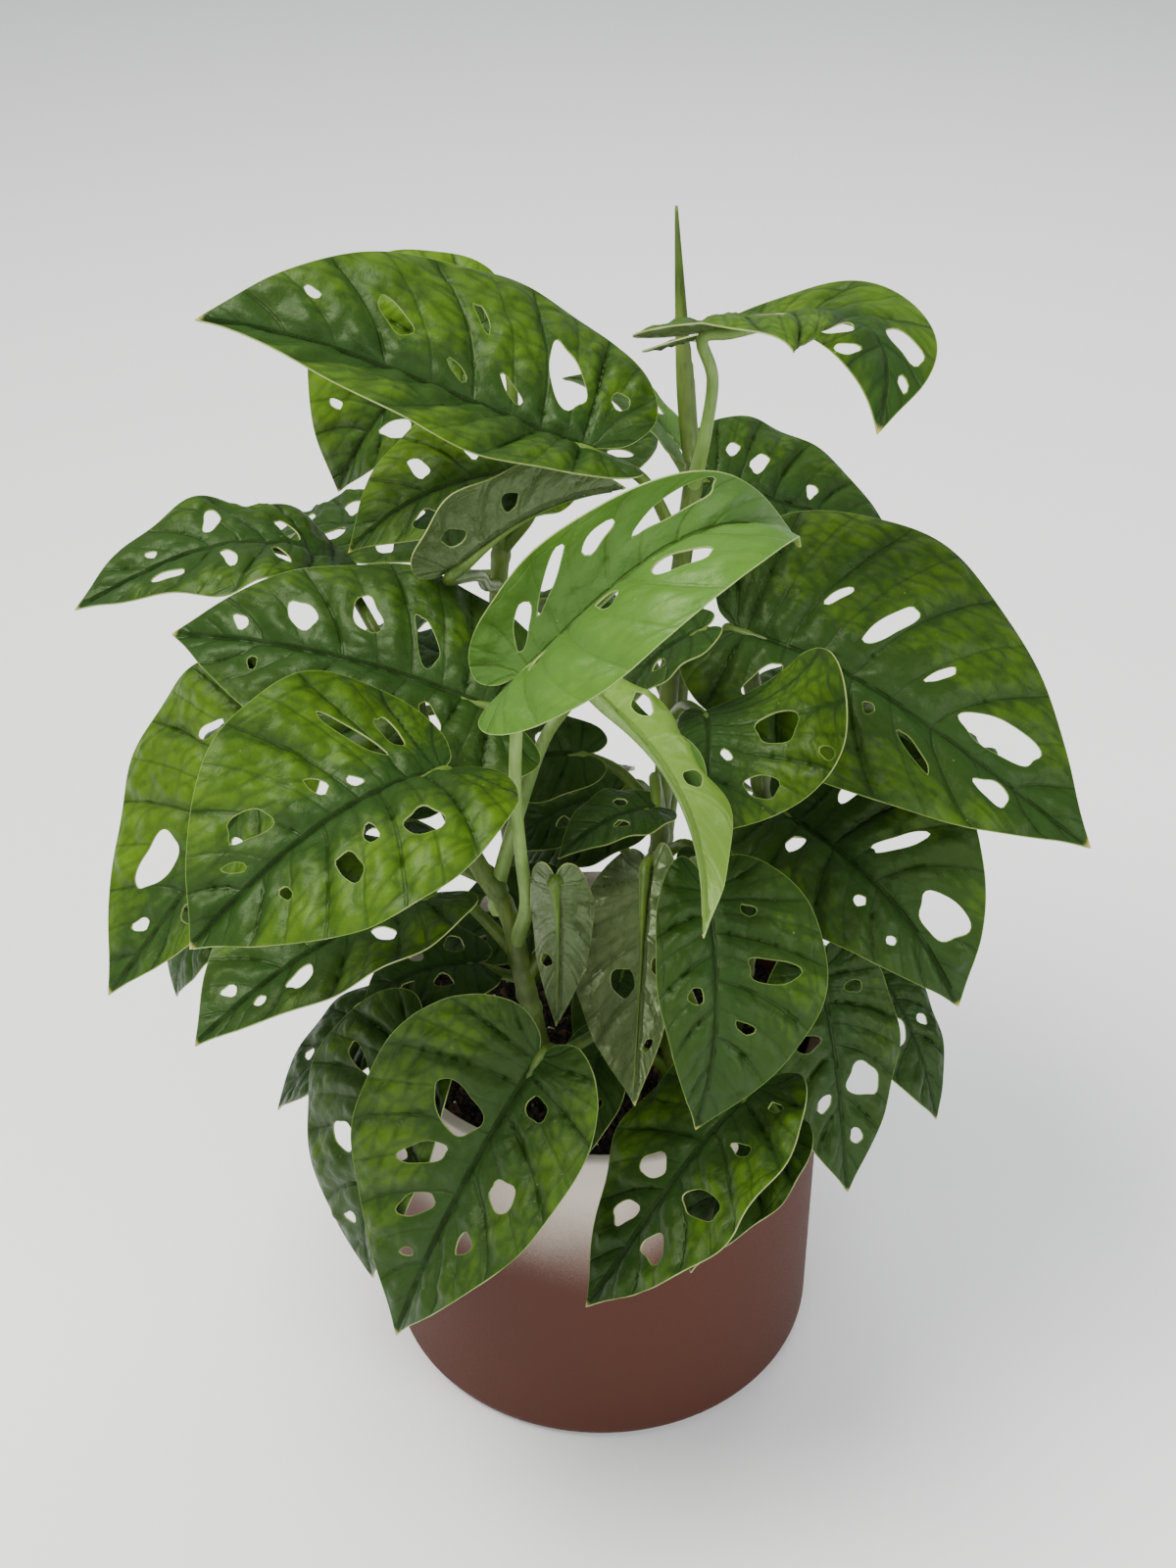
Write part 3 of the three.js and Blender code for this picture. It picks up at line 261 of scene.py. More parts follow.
# %% Measures of the leaves
# Each leaf: base and tip of the midrib, roll of the face about it, half widths (left and
# right), arch of the midrib, fold and curl of each half, twist, depth of the base lobes,
# height of the margin's wave, the stem it grows on and how far up, points that its stalk
# passes, and holes, as a pattern's letter or as a list of its own.
LEAVES = [
  {"name": "crown_left", "base": [-4, -5, 385], "tip": [-128, 5, 424], "roll": 14, "wide": [32, 53],
   "arch": 5, "skew": 0.9, "fold": [32, 38], "curl": [-35, -48], "twist": 6, "lobe": 1.15, "wave": 1.2,
   "stem": ["tall", 0.85], "via": [[14, 4, 368]],
   "holes": [[-1, 0.77, 0.33, 0.73, 0.28, 3], [-1, 0.6, 0.42, 0.51, 0.25, 6], [-1, 0.38, 0.64, 0.33, 0.46, 3],
             [-1, 0.4, 0.2, 0.34, 0.1, 3], [-1, 0.27, 0.24, 0.2, 0.1, 3], [-1, 0.16, 0.62, 0.07, 0.2, 11],
             [-1, -0.02, 0.4, -0.05, 0.3, 6]]},
  {"name": "crown_back", "base": [-40, 80, 393], "tip": [-96, 70, 331], "roll": 44, "wide": [19, 43],
   "arch": 16, "skew": 0, "fold": [10, 14], "curl": [-16, -8], "twist": 9, "lobe": 1, "wave": 2,
   "stem": ["back_left", 0.95], "via": [[-32, 62, 374]],
   "holes": [[1, 0.62, 0.2, 0.5, 0.66, 6], [1, 0.3, 0.3, 0.26, 0.7, 5], [-1, 0.68, 0.42, 0.66, 0.3, 3],
             [-1, 0.44, 0.2, 0.4, 0.5, 6], [-1, 0.16, 0.3, 0.12, 0.6, 6]]},
  {"name": "crown_curled", "base": [-21, 38, 357], "tip": [-86, 10, 339], "roll": 20, "wide": [26, 30],
   "arch": 12, "skew": 0.2, "fold": [10, 13], "curl": [-15, -18], "twist": 3, "lobe": 1, "wave": 2,
   "stem": ["back_left", 0.86], "via": [[-26, 42, 336]],
   "holes": [[1, 0.67, 0.28, 0.6, 0.56, 8], [1, 0.34, 0.24, 0.3, 0.6, 6], [-1, 0.3, 0.24, 0.26, 0.64, 6],
             [-1, 0.54, 0.2, 0.56, 0.5, 5]]},
  {"name": "crown_edge", "base": [-50, -22, 350], "tip": [7, -6, 372], "roll": -4, "wide": [22, 24],
   "arch": 7, "skew": 0.2, "fold": [6, 84], "curl": [-20, -8], "twist": 8, "lobe": 1, "wave": 1.5,
   "stem": ["back_left", 0.78], "via": [[-41, 26, 318], [-42, 4, 334]], "holes": "c"},
  {"name": "far_left", "base": [-92, 24, 326], "tip": [-178, -1, 323], "roll": 0, "wide": [30, 29],
   "arch": 15, "skew": -0.4, "fold": [15, 19], "curl": [-40, -22], "twist": 18, "lobe": 0.9, "wave": 3,
   "stem": ["left", 0.97], "via": [[-78, 0, 316]],
   "holes": [[-1, 0.7, 0.26, 0.66, 0.16, 3], [1, 0.7, 0.3, 0.58, 0.42, 5], [-1, 0.2, 0.5, 0.14, 0.18, 5],
             [1, 0.42, 0.2, 0.4, 0.6, 4], [1, 0.24, 0.2, 0.22, 0.6, 4], [-1, 0.46, 0.24, 0.42, 0.64, 5]]},
  {"name": "left_shoulder", "base": [-35, -48, 314], "tip": [-142, -20, 325], "roll": 28, "wide": [36, 42],
   "arch": 11, "skew": -0.1, "fold": [9, 16], "curl": [-16, -42], "twist": 2, "lobe": 1.4, "wave": 2,
   "stem": ["left", 0.75], "via": [[-42, -40, 292]],
   "holes": [[-1, 0.81, 0.2, 0.76, 0.1, 4], [-1, 0.65, 0.36, 0.56, 0.2, 8], [-1, 0.46, 0.54, 0.38, 0.26, 8],
             [-1, 0.28, 0.52, 0.2, 0.14, 6], [1, 0.71, 0.16, 0.69, 0.3, 3], [1, 0.19, 0.2, 0.13, 0.46, 5],
             [1, 0.45, 0.2, 0.45, 0.6, 6]]},
  {"name": "left_front", "base": [-48, -92, 321], "tip": [-121, -138, 288], "roll": 14, "wide": [46, 46],
   "arch": 13, "skew": -0.3, "fold": [24, 16], "curl": [-45, 12], "twist": 30, "lobe": 0.7, "wave": 1.2,
   "stem": ["left", 0.66], "via": [[-46, -66, 284]],
   "holes": [[-1, 0.68, 0.34, 0.55, 0.24, 8], [-1, 0.4, 0.32, 0.36, 0.17, 4], [-1, 0.29, 0.18, 0.25, 0.1, 3],
             [-1, 0.25, 0.68, 0.13, 0.22, 4], [-1, 0.08, 0.54, 0.07, 0.28, 5], [-1, 0.76, 0.2, 0.7, 0.1, 3],
             [1, 0.23, 0.42, 0.2, 0.64, 9], [1, 0.34, 0.28, 0.36, 0.46, 4], [1, 0.46, 0.36, 0.46, 0.6, 6],
             [1, 0.66, 0.22, 0.65, 0.34, 3]]},
  {"name": "left_back", "base": [-101, -50, 306], "tip": [-167, -72, 214], "roll": 24, "wide": [24, 52],
   "arch": -2, "skew": 0, "fold": [11, 11], "curl": [-20, -20], "twist": -10, "lobe": 1, "wave": 1.5,
   "stem": ["left", 0.85], "via": [[-80, -40, 300]],
   "holes": [[-1, 0.7, 0.32, 0.5, 0.28, 12], [-1, 0.8, 0.16, 0.74, 0.08, 4], [-1, 0.22, 0.56, 0.12, 0.44, 4],
             [-1, 0.26, 0.24, 0.2, 0.12, 5], [1, 0.36, 0.2, 0.36, 0.6, 6], [1, 0.6, 0.2, 0.64, 0.4, 5]]},
  {"name": "left_small", "base": [-131, -10, 215], "tip": [-157, -21, 170], "roll": 9, "wide": [19, 18],
   "arch": 8, "skew": 0, "fold": [10, 10], "curl": [-15, -15], "twist": 0, "lobe": 1, "wave": 1,
   "stem": ["left", 0.6], "via": [[-78, -28, 244]], "holes": "d"},
  {"name": "left_low", "base": [-56, -66, 253], "tip": [-130, -112, 227], "roll": 0, "wide": [30, 43],
   "arch": 8, "skew": 0, "fold": [14, 14], "curl": [-12, -9], "twist": 10, "lobe": 1, "wave": 1.5,
   "stem": ["left", 0.35], "via": [[-46, -44, 232]],
   "holes": [[-1, 0.82, 0.18, 0.77, 0.1, 4], [-1, 0.54, 0.24, 0.56, 0.6, 6], [-1, 0.3, 0.22, 0.28, 0.66, 7],
             [1, 0.74, 0.14, 0.72, 0.28, 4], [1, 0.62, 0.38, 0.52, 0.24, 7], [1, 0.26, 0.24, 0.24, 0.6, 6]]},
  {"name": "rim_left_back", "base": [-67, -46, 186], "tip": [-118, -52, 143], "roll": 0, "wide": [24, 22],
   "arch": 8, "skew": 0, "fold": [10, 10], "curl": [-15, -15], "twist": 0, "lobe": 1, "wave": 1,
   "stem": ["rim_left", 0.8], "via": [[-54, -44, 180]],
   "holes": [[-1, 0.68, 0.3, 0.61, 0.16, 4], [-1, 0.3, 0.24, 0.28, 0.6, 5], [1, 0.4, 0.2, 0.42, 0.56, 5]]},
  {"name": "rim_left", "base": [-62, -82, 202], "tip": [-81, -100, 107], "roll": -5, "wide": [29, 38],
   "arch": 12, "skew": -0.1, "fold": [10, 11], "curl": [-15, -14], "twist": 0, "lobe": 1, "wave": 1,
   "stem": ["rim_left", 0.9], "via": [[-50, -62, 192]],
   "holes": [[-1, 0.42, 0.5, 0.44, 0.2, 10], [-1, 0.76, 0.26, 0.72, 0.1, 4], [-1, 0.18, 0.3, 0.14, 0.66, 5],
             [1, 0.3, 0.24, 0.32, 0.66, 6], [1, 0.6, 0.2, 0.64, 0.46, 5]]},
  {"name": "rim_front_left", "base": [-20, -107, 219], "tip": [-69, -138, 121], "roll": 8, "wide": [35, 46],
   "arch": 5, "skew": 0.1, "fold": [13, 21], "curl": [-25, 8], "twist": -25, "lobe": 0.8, "wave": 1.2,
   "stem": ["front", 0.6], "via": [[8, -66, 200], [-12, -92, 208]],
   "holes": [[-1, 0.22, 0.52, 0.3, 0.14, 13], [-1, 0.49, 0.52, 0.38, 0.22, 7],
             [-1, 0.64, 0.36, 0.53, 0.14, 7], [-1, 0.75, 0.22, 0.72, 0.12, 3],
             [1, 0.12, 0.16, 0.12, 0.4, 7], [1, 0.38, 0.32, 0.38, 0.6, 10],
             [1, 0.61, 0.34, 0.54, 0.4, 6]]},
  {"name": "centre_grey", "base": [16, -52, 252], "tip": [11, -115, 205], "roll": 145, "wide": [30, 14],
   "arch": 0, "skew": 0, "fold": [8, 6], "curl": [-24, -15], "twist": 6, "lobe": 1.1, "wave": 1.5,
   "stem": ["front", 0.78], "via": [[19, -42, 248]],
   "holes": [[1, 0.42, 0.44, 0.52, 0.14, 9], [-1, 0.74, 0.14, 0.76, 0.32, 5], [-1, 0.4, 0.2, 0.42, 0.6, 6]]},
  {"name": "front_centre", "base": [33, -88, 273], "tip": [30, -128, 207], "roll": 22, "wide": [36, 20],
   "arch": 14, "skew": 0, "fold": [8, 14], "curl": [-5, -38], "twist": 7, "lobe": 1.05, "wave": 1,
   "stem": ["front", 1], "via": [[30, -62, 264]],
   "holes": [[1, 0.31, 0.28, 0.33, 0.74, 7], [1, 0.08, 0.26, 0.1, 0.4, 3], [-1, 0.41, 0.5, 0.42, 0.25, 5],
             [1, 0.52, 0.16, 0.56, 0.34, 3]]},
  {"name": "rim_front_right", "base": [52, -98, 199], "tip": [-5, -132, 129], "roll": -2, "wide": [37, 31],
   "arch": 4, "skew": -0.7, "fold": [9, 6], "curl": [-5, 3], "twist": 7, "lobe": 1.08, "wave": 2.5,
   "stem": ["front", 0.72], "via": [[38, -72, 194]],
   "holes": [[-1, 0.5, 0.44, 0.42, 0.2, 8], [-1, 0.7, 0.36, 0.6, 0.18, 7], [1, 0.68, 0.14, 0.63, 0.44, 9],
             [1, 0.45, 0.24, 0.38, 0.7, 9], [1, 0.2, 0.3, 0.17, 0.56, 4], [-1, 0.22, 0.4, 0.2, 0.18, 4],
             [1, 0.02, 0.3, 0, 0.46, 3]]},
  {"name": "rim_right_under", "base": [61, -86, 169], "tip": [31, -113, 125], "roll": -15, "wide": [24, 17],
   "arch": 9, "skew": 0.2, "fold": [7, 10], "curl": [-26, -15], "twist": 0, "lobe": 1, "wave": 1,
   "stem": ["front", 0.5], "via": [[46, -60, 174]], "holes": "d"},
  {"name": "right_low", "base": [77, -40, 201], "tip": [88, -80, 131], "roll": 16, "wide": [27, 28],
   "arch": 3, "skew": -0.2, "fold": [5, 9], "curl": [-5, -16], "twist": 8, "lobe": 0.95, "wave": 1.5,
   "stem": ["right", 0.45], "via": [[66, -20, 200]],
   "holes": [[1, 0.48, 0.16, 0.56, 0.6, 11], [1, 0.72, 0.14, 0.79, 0.24, 5], [1, 0.1, 0.28, 0.11, 0.55, 4],
             [-1, 0.3, 0.2, 0.3, 0.6, 6], [-1, 0.55, 0.16, 0.6, 0.4, 5]]},
  {"name": "right_low_back", "base": [102, 2, 170], "tip": [126, -34, 123], "roll": 12, "wide": [16, 27],
   "arch": 6, "skew": 0, "fold": [8, 9], "curl": [-21, -17], "twist": 0, "lobe": 1, "wave": 1,
   "stem": ["right", 0.35], "via": [[80, 4, 174]],
   "holes": [[-1, 0.5, 0.3, 0.32, 0.34, 10], [1, 0.4, 0.26, 0.44, 0.56, 4]]},
  {"name": "right_side", "base": [61, -14, 252], "tip": [121, -70, 209], "roll": -19, "wide": [45, 30],
   "arch": 20, "skew": 0.2, "fold": [24, 5], "curl": [2, -22], "twist": -6, "lobe": 1, "wave": 1.5,
   "stem": ["right", 0.62], "via": [[60, -8, 248]],
   "holes": [[1, 0.39, 0.16, 0.49, 0.52, 4], [1, 0.63, 0.18, 0.8, 0.26, 13], [-1, 0.17, 0.4, 0.17, 0.15, 5],
             [-1, 0.48, 0.34, 0.51, 0.24, 4], [-1, 0.66, 0.36, 0.69, 0.28, 3], [1, 0.18, 0.3, 0.2, 0.66, 6]]},
  {"name": "right_shoulder", "base": [45, 5, 313], "tip": [164, -45, 258], "roll": -20, "wide": [62, 40],
   "arch": 12, "skew": -0.6, "fold": [18, 8], "curl": [-28, -26], "twist": 16, "lobe": 0.8, "wave": 1.5,
   "stem": ["right", 0.9], "via": [[46, 14, 306]],
   "holes": [[1, 0.28, 0.2, 0.35, 0.52, 6], [1, 0.45, 0.19, 0.5, 0.36, 3], [1, 0.57, 0.14, 0.78, 0.23, 12],
             [-1, 0.67, 0.2, 0.77, 0.16, 8], [-1, 0.36, 0.16, 0.38, 0.25, 4], [-1, 0.46, 0.24, 0.57, 0.42, 4],
             [-1, 0.14, 0.2, 0.1, 0.6, 6], [1, 0.16, 0.3, 0.2, 0.46, 3]]},
  {"name": "right_back", "base": [37, 56, 343], "tip": [107, 71, 310], "roll": -30, "wide": [34, 24],
   "arch": 3, "skew": 0.2, "fold": [15, 10], "curl": [-35, -15], "twist": 5, "lobe": 1, "wave": 1.5,
   "stem": ["right", 1], "via": [[42, 40, 330]],
   "holes": [[1, 0.08, 0.36, 0.12, 0.52, 4], [1, 0.2, 0.24, 0.27, 0.48, 5], [1, 0.49, 0.12, 0.52, 0.3, 4],
             [-1, 0.3, 0.2, 0.32, 0.6, 5]]},
  {"name": "crown_right", "base": [32, 0, 423], "tip": [81, -44, 409], "roll": 60, "wide": [33, 48],
   "arch": 28, "skew": 0.32, "fold": [37, -36], "curl": [44, -33], "twist": -32, "lobe": 1.9, "wave": 1,
   "stem": ["tall", 0.96], "via": [[32, 4, 384], [34, 2, 406]],
   "holes": [[1, 0.62, 0.24, 0.77, 0.36, 8], [1, 0.83, 0.12, 0.87, 0.2, 3], [-1, 0.58, 0.16, 0.64, 0.5, 7],
             [-1, 0.76, 0.2, 0.8, 0.4, 4], [-1, 0.24, 0.24, 0.2, 0.56, 6]]},
  {"name": "centre_bright", "base": [-25, -90, 353], "tip": [59, -58, 379], "roll": -32, "wide": [24, 36],
   "arch": 40, "skew": 0.4, "fold": [22, 57], "curl": [58, -66], "twist": -21, "lobe": 0.85, "wave": 0.8,
   "stem": ["left", 0.4], "via": [[-25, -66, 248], [-26, -76, 276], [-27, -84, 308], [-26, -88, 334]],
   "holes": [[-1, 0.47, 0.26, 0.6, 0.42, 7], [-1, 0.31, 0.12, 0.36, 0.34, 5], [-1, 0.1, 0.3, 0.11, 0.12, 5],
             [1, 0.47, 0.34, 0.7, 0.5, 6], [1, 0.34, 0.5, 0.45, 0.66, 4], [1, 0.04, 0.2, 0.15, 0.6, 4],
             [1, 0.15, 0.36, 0.34, 0.82, 3]]},
  {"name": "right_cupped", "base": [33, -36, 306], "tip": [31, -84, 291], "roll": 17, "wide": [50, 12],
   "arch": 6, "skew": -0.6, "fold": [1, -4], "curl": [72, -40], "twist": 33, "lobe": 1, "wave": 1,
   "stem": ["tall", 0.62], "via": [[27, -14, 294]],
   "holes": [[1, 0.26, 0.3, 0.3, 0.58, 9], [1, 0.62, 0.24, 0.64, 0.46, 7], [1, 0.4, 0.08, 0.47, 0.14, 3],
             [1, 0.46, 0.72, 0.52, 0.84, 3]]},
  {"name": "centre_curled", "base": [-3, -69, 334], "tip": [31, -118, 277], "roll": 95, "wide": [19, 17],
   "arch": 14, "skew": 0, "fold": [25, 25], "curl": [95, 140], "twist": -20, "lobe": 0.8, "wave": 3.2,
   "stem": ["left", 0.56], "via": [[-22, -40, 290], [-12, -50, 316]], "holes": "c"},
  {"name": "inner_top", "base": [32, -30, 334], "tip": [6, -36, 304], "roll": 0, "wide": [15, 15],
   "arch": 6, "skew": 0, "fold": [10, 10], "curl": [-15, -15], "twist": 0, "lobe": 1, "wave": 1,
   "stem": ["tall", 0.7], "via": [[20, -14, 322]], "holes": "d"},
  {"name": "inner_middle", "base": [18, -28, 262], "tip": [-15, -50, 256], "roll": 0, "wide": [14, 14],
   "arch": 5, "skew": 0, "fold": [10, 10], "curl": [-15, -15], "twist": 0, "lobe": 1, "wave": 1,
   "stem": ["tall", 0.5], "via": [[18, -10, 262]], "holes": "d"},
  {"name": "inner_left", "base": [-43, -44, 206], "tip": [-84, -55, 193], "roll": 8, "wide": [19, 20],
   "arch": 8, "skew": 0, "fold": [10, 10], "curl": [-15, -15], "twist": 0, "lobe": 1, "wave": 1,
   "stem": ["left", 0.3], "via": [[-34, -48, 204]], "holes": "c"},
  {"name": "rim_front_under", "base": [2, -64, 188], "tip": [-13, -92, 148], "roll": 0, "wide": [14, 14],
   "arch": 6, "skew": 0, "fold": [8, 8], "curl": [-10, -10], "twist": 0, "lobe": 1, "wave": 1,
   "stem": ["front", 0.35], "via": [[12, -50, 172]], "holes": "d"},
  {"name": "inner_back_left", "base": [-6, 4, 262], "tip": [-56, 16, 238], "roll": 26, "wide": [19, 18],
   "arch": 8, "skew": 0, "fold": [8, 8], "curl": [-15, -15], "twist": 0, "lobe": 1, "wave": 1.5,
   "stem": ["tall", 0.5], "via": [[8, 8, 250]], "holes": "d"},
  {"name": "inner_back_top", "base": [8, 22, 300], "tip": [-36, 24, 272], "roll": 24, "wide": [18, 18],
   "arch": 8, "skew": 0, "fold": [8, 8], "curl": [-15, -15], "twist": 0, "lobe": 1, "wave": 1.5,
   "stem": ["tall", 0.66], "via": [[16, 16, 292]], "holes": "d"},
  {"name": "inner_low_left", "base": [-16, 4, 198], "tip": [-64, -4, 172], "roll": 26, "wide": [20, 19],
   "arch": 8, "skew": 0, "fold": [8, 8], "curl": [-15, -15], "twist": 0, "lobe": 1, "wave": 1.5,
   "stem": ["tall", 0.28], "via": [[0, 8, 190]], "holes": "c"},
  {"name": "inner_low_back", "base": [4, 28, 228], "tip": [-38, 20, 206], "roll": 20, "wide": [17, 17],
   "arch": 8, "skew": 0, "fold": [8, 8], "curl": [-15, -15], "twist": 0, "lobe": 1, "wave": 1.5,
   "stem": ["back_right", 0.46], "via": [[15, 42, 222]], "holes": "d"},
  {"name": "inner_low_front", "base": [8, -12, 176], "tip": [-6, -58, 160], "roll": 14, "wide": [15, 15],
   "arch": 6, "skew": 0, "fold": [8, 8], "curl": [-15, -15], "twist": 0, "lobe": 1, "wave": 1,
   "stem": ["tall", 0.2], "via": [[14, -2, 168]], "holes": "d"},
  {"name": "inner_rim_back", "base": [11, 60, 196], "tip": [-36, 66, 164], "roll": 24, "wide": [19, 19],
   "arch": 8, "skew": 0, "fold": [8, 8], "curl": [-15, -15], "twist": 0, "lobe": 1, "wave": 1.5,
   "stem": ["back_right", 0.35], "via": [[20, 64, 188]], "holes": "d"},
  {"name": "inner_right", "base": [36, -18, 236], "tip": [66, -46, 208], "roll": -10, "wide": [17, 17],
   "arch": 6, "skew": 0, "fold": [8, 8], "curl": [-15, -15], "twist": 0, "lobe": 1, "wave": 1,
   "stem": ["tall", 0.42], "via": [[28, -6, 230]], "holes": "d"},
  {"name": "crown_young", "base": [24, 26, 372], "tip": [-14, 34, 392], "roll": 0, "wide": [13, 13],
   "arch": 6, "skew": 0, "fold": [12, 12], "curl": [-15, -15], "twist": 0, "lobe": 1, "wave": 0.8,
   "stem": ["tall", 0.9], "via": [[28, 18, 362]], "holes": "d"},
  {"name": "centre_small", "base": [-15, -82, 272], "tip": [-15, -89, 216], "roll": 170, "wide": [11, 12],
   "arch": 5, "skew": 0, "fold": [10, 10], "curl": [35, 35], "twist": 0, "lobe": 1, "wave": 1,
   "stem": ["left", 0.3], "via": [[-14, -56, 234], [-9, -68, 260]], "holes": [[1, 0.62, 0.2, 0.6, 0.6, 5]]},
  {"name": "back_left_high", "base": [-66, 62, 316], "tip": [-136, 92, 288], "roll": 0, "wide": [28, 28],
   "arch": 12, "skew": 0, "fold": [12, 12], "curl": [-20, -20], "twist": 0, "lobe": 1, "wave": 1.5,
   "stem": ["back_left", 0.8], "via": [[-50, 52, 308]], "holes": "a"},
  {"name": "back_left_mid", "base": [-58, 78, 256], "tip": [-116, 134, 212], "roll": 0, "wide": [33, 33],
   "arch": 14, "skew": 0, "fold": [12, 12], "curl": [-22, -22], "twist": 8, "lobe": 1, "wave": 1.5,
   "stem": ["back_left", 0.5], "via": [[-46, 60, 244]], "holes": "b"},
  {"name": "back_left_low", "base": [-74, 44, 204], "tip": [-142, 66, 152], "roll": 4, "wide": [29, 29],
   "arch": 12, "skew": 0, "fold": [10, 10], "curl": [-18, -18], "twist": 0, "lobe": 1, "wave": 1.2,
   "stem": ["back_left", 0.3], "via": [[-52, 38, 192]], "holes": "a"},
  {"name": "side_left", "base": [-92, 20, 266], "tip": [-166, 38, 216], "roll": -4, "wide": [32, 32],
   "arch": 14, "skew": 0, "fold": [12, 12], "curl": [-20, -20], "twist": -6, "lobe": 1, "wave": 1.5,
   "stem": ["back_left", 0.6], "via": [[-64, 32, 262]], "holes": "b"},
  {"name": "back_mid_high", "base": [-6, 88, 334], "tip": [-20, 160, 296], "roll": 0, "wide": [31, 31],
   "arch": 14, "skew": 0, "fold": [12, 12], "curl": [-20, -20], "twist": 6, "lobe": 1, "wave": 1.5,
   "stem": ["back_left", 0.92], "via": [[-20, 68, 332]], "holes": "b"},
  {"name": "back_mid", "base": [6, 92, 262], "tip": [8, 170, 212], "roll": 0, "wide": [35, 35],
   "arch": 14, "skew": 0, "fold": [12, 12], "curl": [-22, -22], "twist": 0, "lobe": 1, "wave": 1.5,
   "stem": ["back_right", 0.7], "via": [[18, 74, 258]], "holes": "a"},
  {"name": "back_low", "base": [-14, 88, 190], "tip": [-26, 142, 118], "roll": 0, "wide": [33, 33],
   "arch": 14, "skew": 0, "fold": [10, 10], "curl": [-18, -18], "twist": -6, "lobe": 1, "wave": 1.2,
   "stem": ["back_right", 0.3], "via": [[4, 66, 184]], "holes": "b"},
  {"name": "back_right_high", "base": [60, 84, 300], "tip": [114, 142, 264], "roll": 0, "wide": [30, 30],
   "arch": 12, "skew": 0, "fold": [12, 12], "curl": [-20, -20], "twist": 0, "lobe": 1, "wave": 1.5,
   "stem": ["back_right", 1], "via": [[42, 70, 298]], "holes": "b"},
  {"name": "back_right_mid", "base": [72, 66, 240], "tip": [142, 104, 196], "roll": 0, "wide": [32, 32],
   "arch": 14, "skew": 0, "fold": [12, 12], "curl": [-22, -22], "twist": 6, "lobe": 1, "wave": 1.5,
   "stem": ["back_right", 0.6], "via": [[48, 60, 236]], "holes": "a"},
  {"name": "back_right_low", "base": [60, 72, 186], "tip": [104, 120, 116], "roll": 0, "wide": [31, 31],
   "arch": 14, "skew": 0, "fold": [10, 10], "curl": [-18, -18], "twist": 0, "lobe": 1, "wave": 1.2,
   "stem": ["back_right", 0.35], "via": [[42, 60, 184]], "holes": "b"},
  {"name": "side_right", "base": [104, 34, 246], "tip": [168, 58, 196], "roll": 4, "wide": [30, 30],
   "arch": 14, "skew": 0, "fold": [12, 12], "curl": [-20, -20], "twist": 0, "lobe": 1, "wave": 1.5,
   "stem": ["right", 0.7], "via": [[80, 24, 244]], "holes": "b"}]
print("leaves:", len(LEAVES))

# %% Measures of the rolled new leaf
# Axis points and radii.
SPEAR = {"path": [[28, 18, 377], [26, 21, 396], [24, 24, 424], [22, 24, 454]],
         "radius": [3.2, 3, 1.9, 0.5]}
print("the new leaf ends at", SPEAR["path"][-1][2], "mm")

# %% [markdown]
# ## The form of a leaf
#
# A leaf is drawn in its own flat plan first: x runs from the base (0) to the tip (1), and y
# from the midrib (0) to the widest margin (1). Side veins curve forward from the midrib to
# the margin. The plan is then bent in space: the midrib arches, each half folds up from it
# and curls, the whole leaf twists, and the margin waves. It could be bent by hand with soft
# selection, but because every step is a formula, any fine point of the leaf can be placed,
# and it lies where the plain solid has its face.


# %% Smooth lines through a few values
def spline(values, t):
    """The smooth line through evenly spaced values, at t from 0 to 1."""
    values = np.asarray(values, float)
    t = np.asarray(t, float)
    last = len(values) - 1
    i = np.clip(np.floor(t * last).astype(int), 0, last - 1)
    f = t * last - i
    b, c = values[i], values[i + 1]
    a = np.where(i > 0, values[np.maximum(i - 1, 0)], 2 * b - c)
    d = np.where(i + 2 <= last, values[np.minimum(i + 2, last)], 2 * c - b)
    return 0.5 * (2 * b + (c - a) * f + (2 * a - 5 * b + 4 * c - d) * f**2
                  + (3 * b - a - 3 * c + d) * f**3)


def along(path, t):
    """Points of the smooth curve through a path."""
    return np.stack([spline(axis, t) for axis in np.asarray(path, float).T], axis=-1)


print("half way up the tall stem:", along(VINES["tall"]["path"], 0.5).round(1))


# %% From the plan to space
FLAT = 1e-4  # radians of curl that a flat half gets, because the curl divides
WAVES = 2.6  # waves of the margin from base to tip


def unit(vector):
    return vector / np.linalg.norm(vector, axis=-1, keepdims=True)


def leaf_frame(leaf):
    """Base, direction of the midrib, direction of the upper face, and length."""
    base = np.array(leaf["base"], float)
    ahead = np.array(leaf["tip"], float) - base
    length = float(np.linalg.norm(ahead))
    ahead = ahead / length
    flat = unit(np.array([0, 0, 1.0]) - ahead * ahead[2])
    side = np.cross(flat, ahead)
    roll = math.radians(leaf["roll"])
    return base, ahead, flat * math.cos(roll) + side * math.sin(roll), length


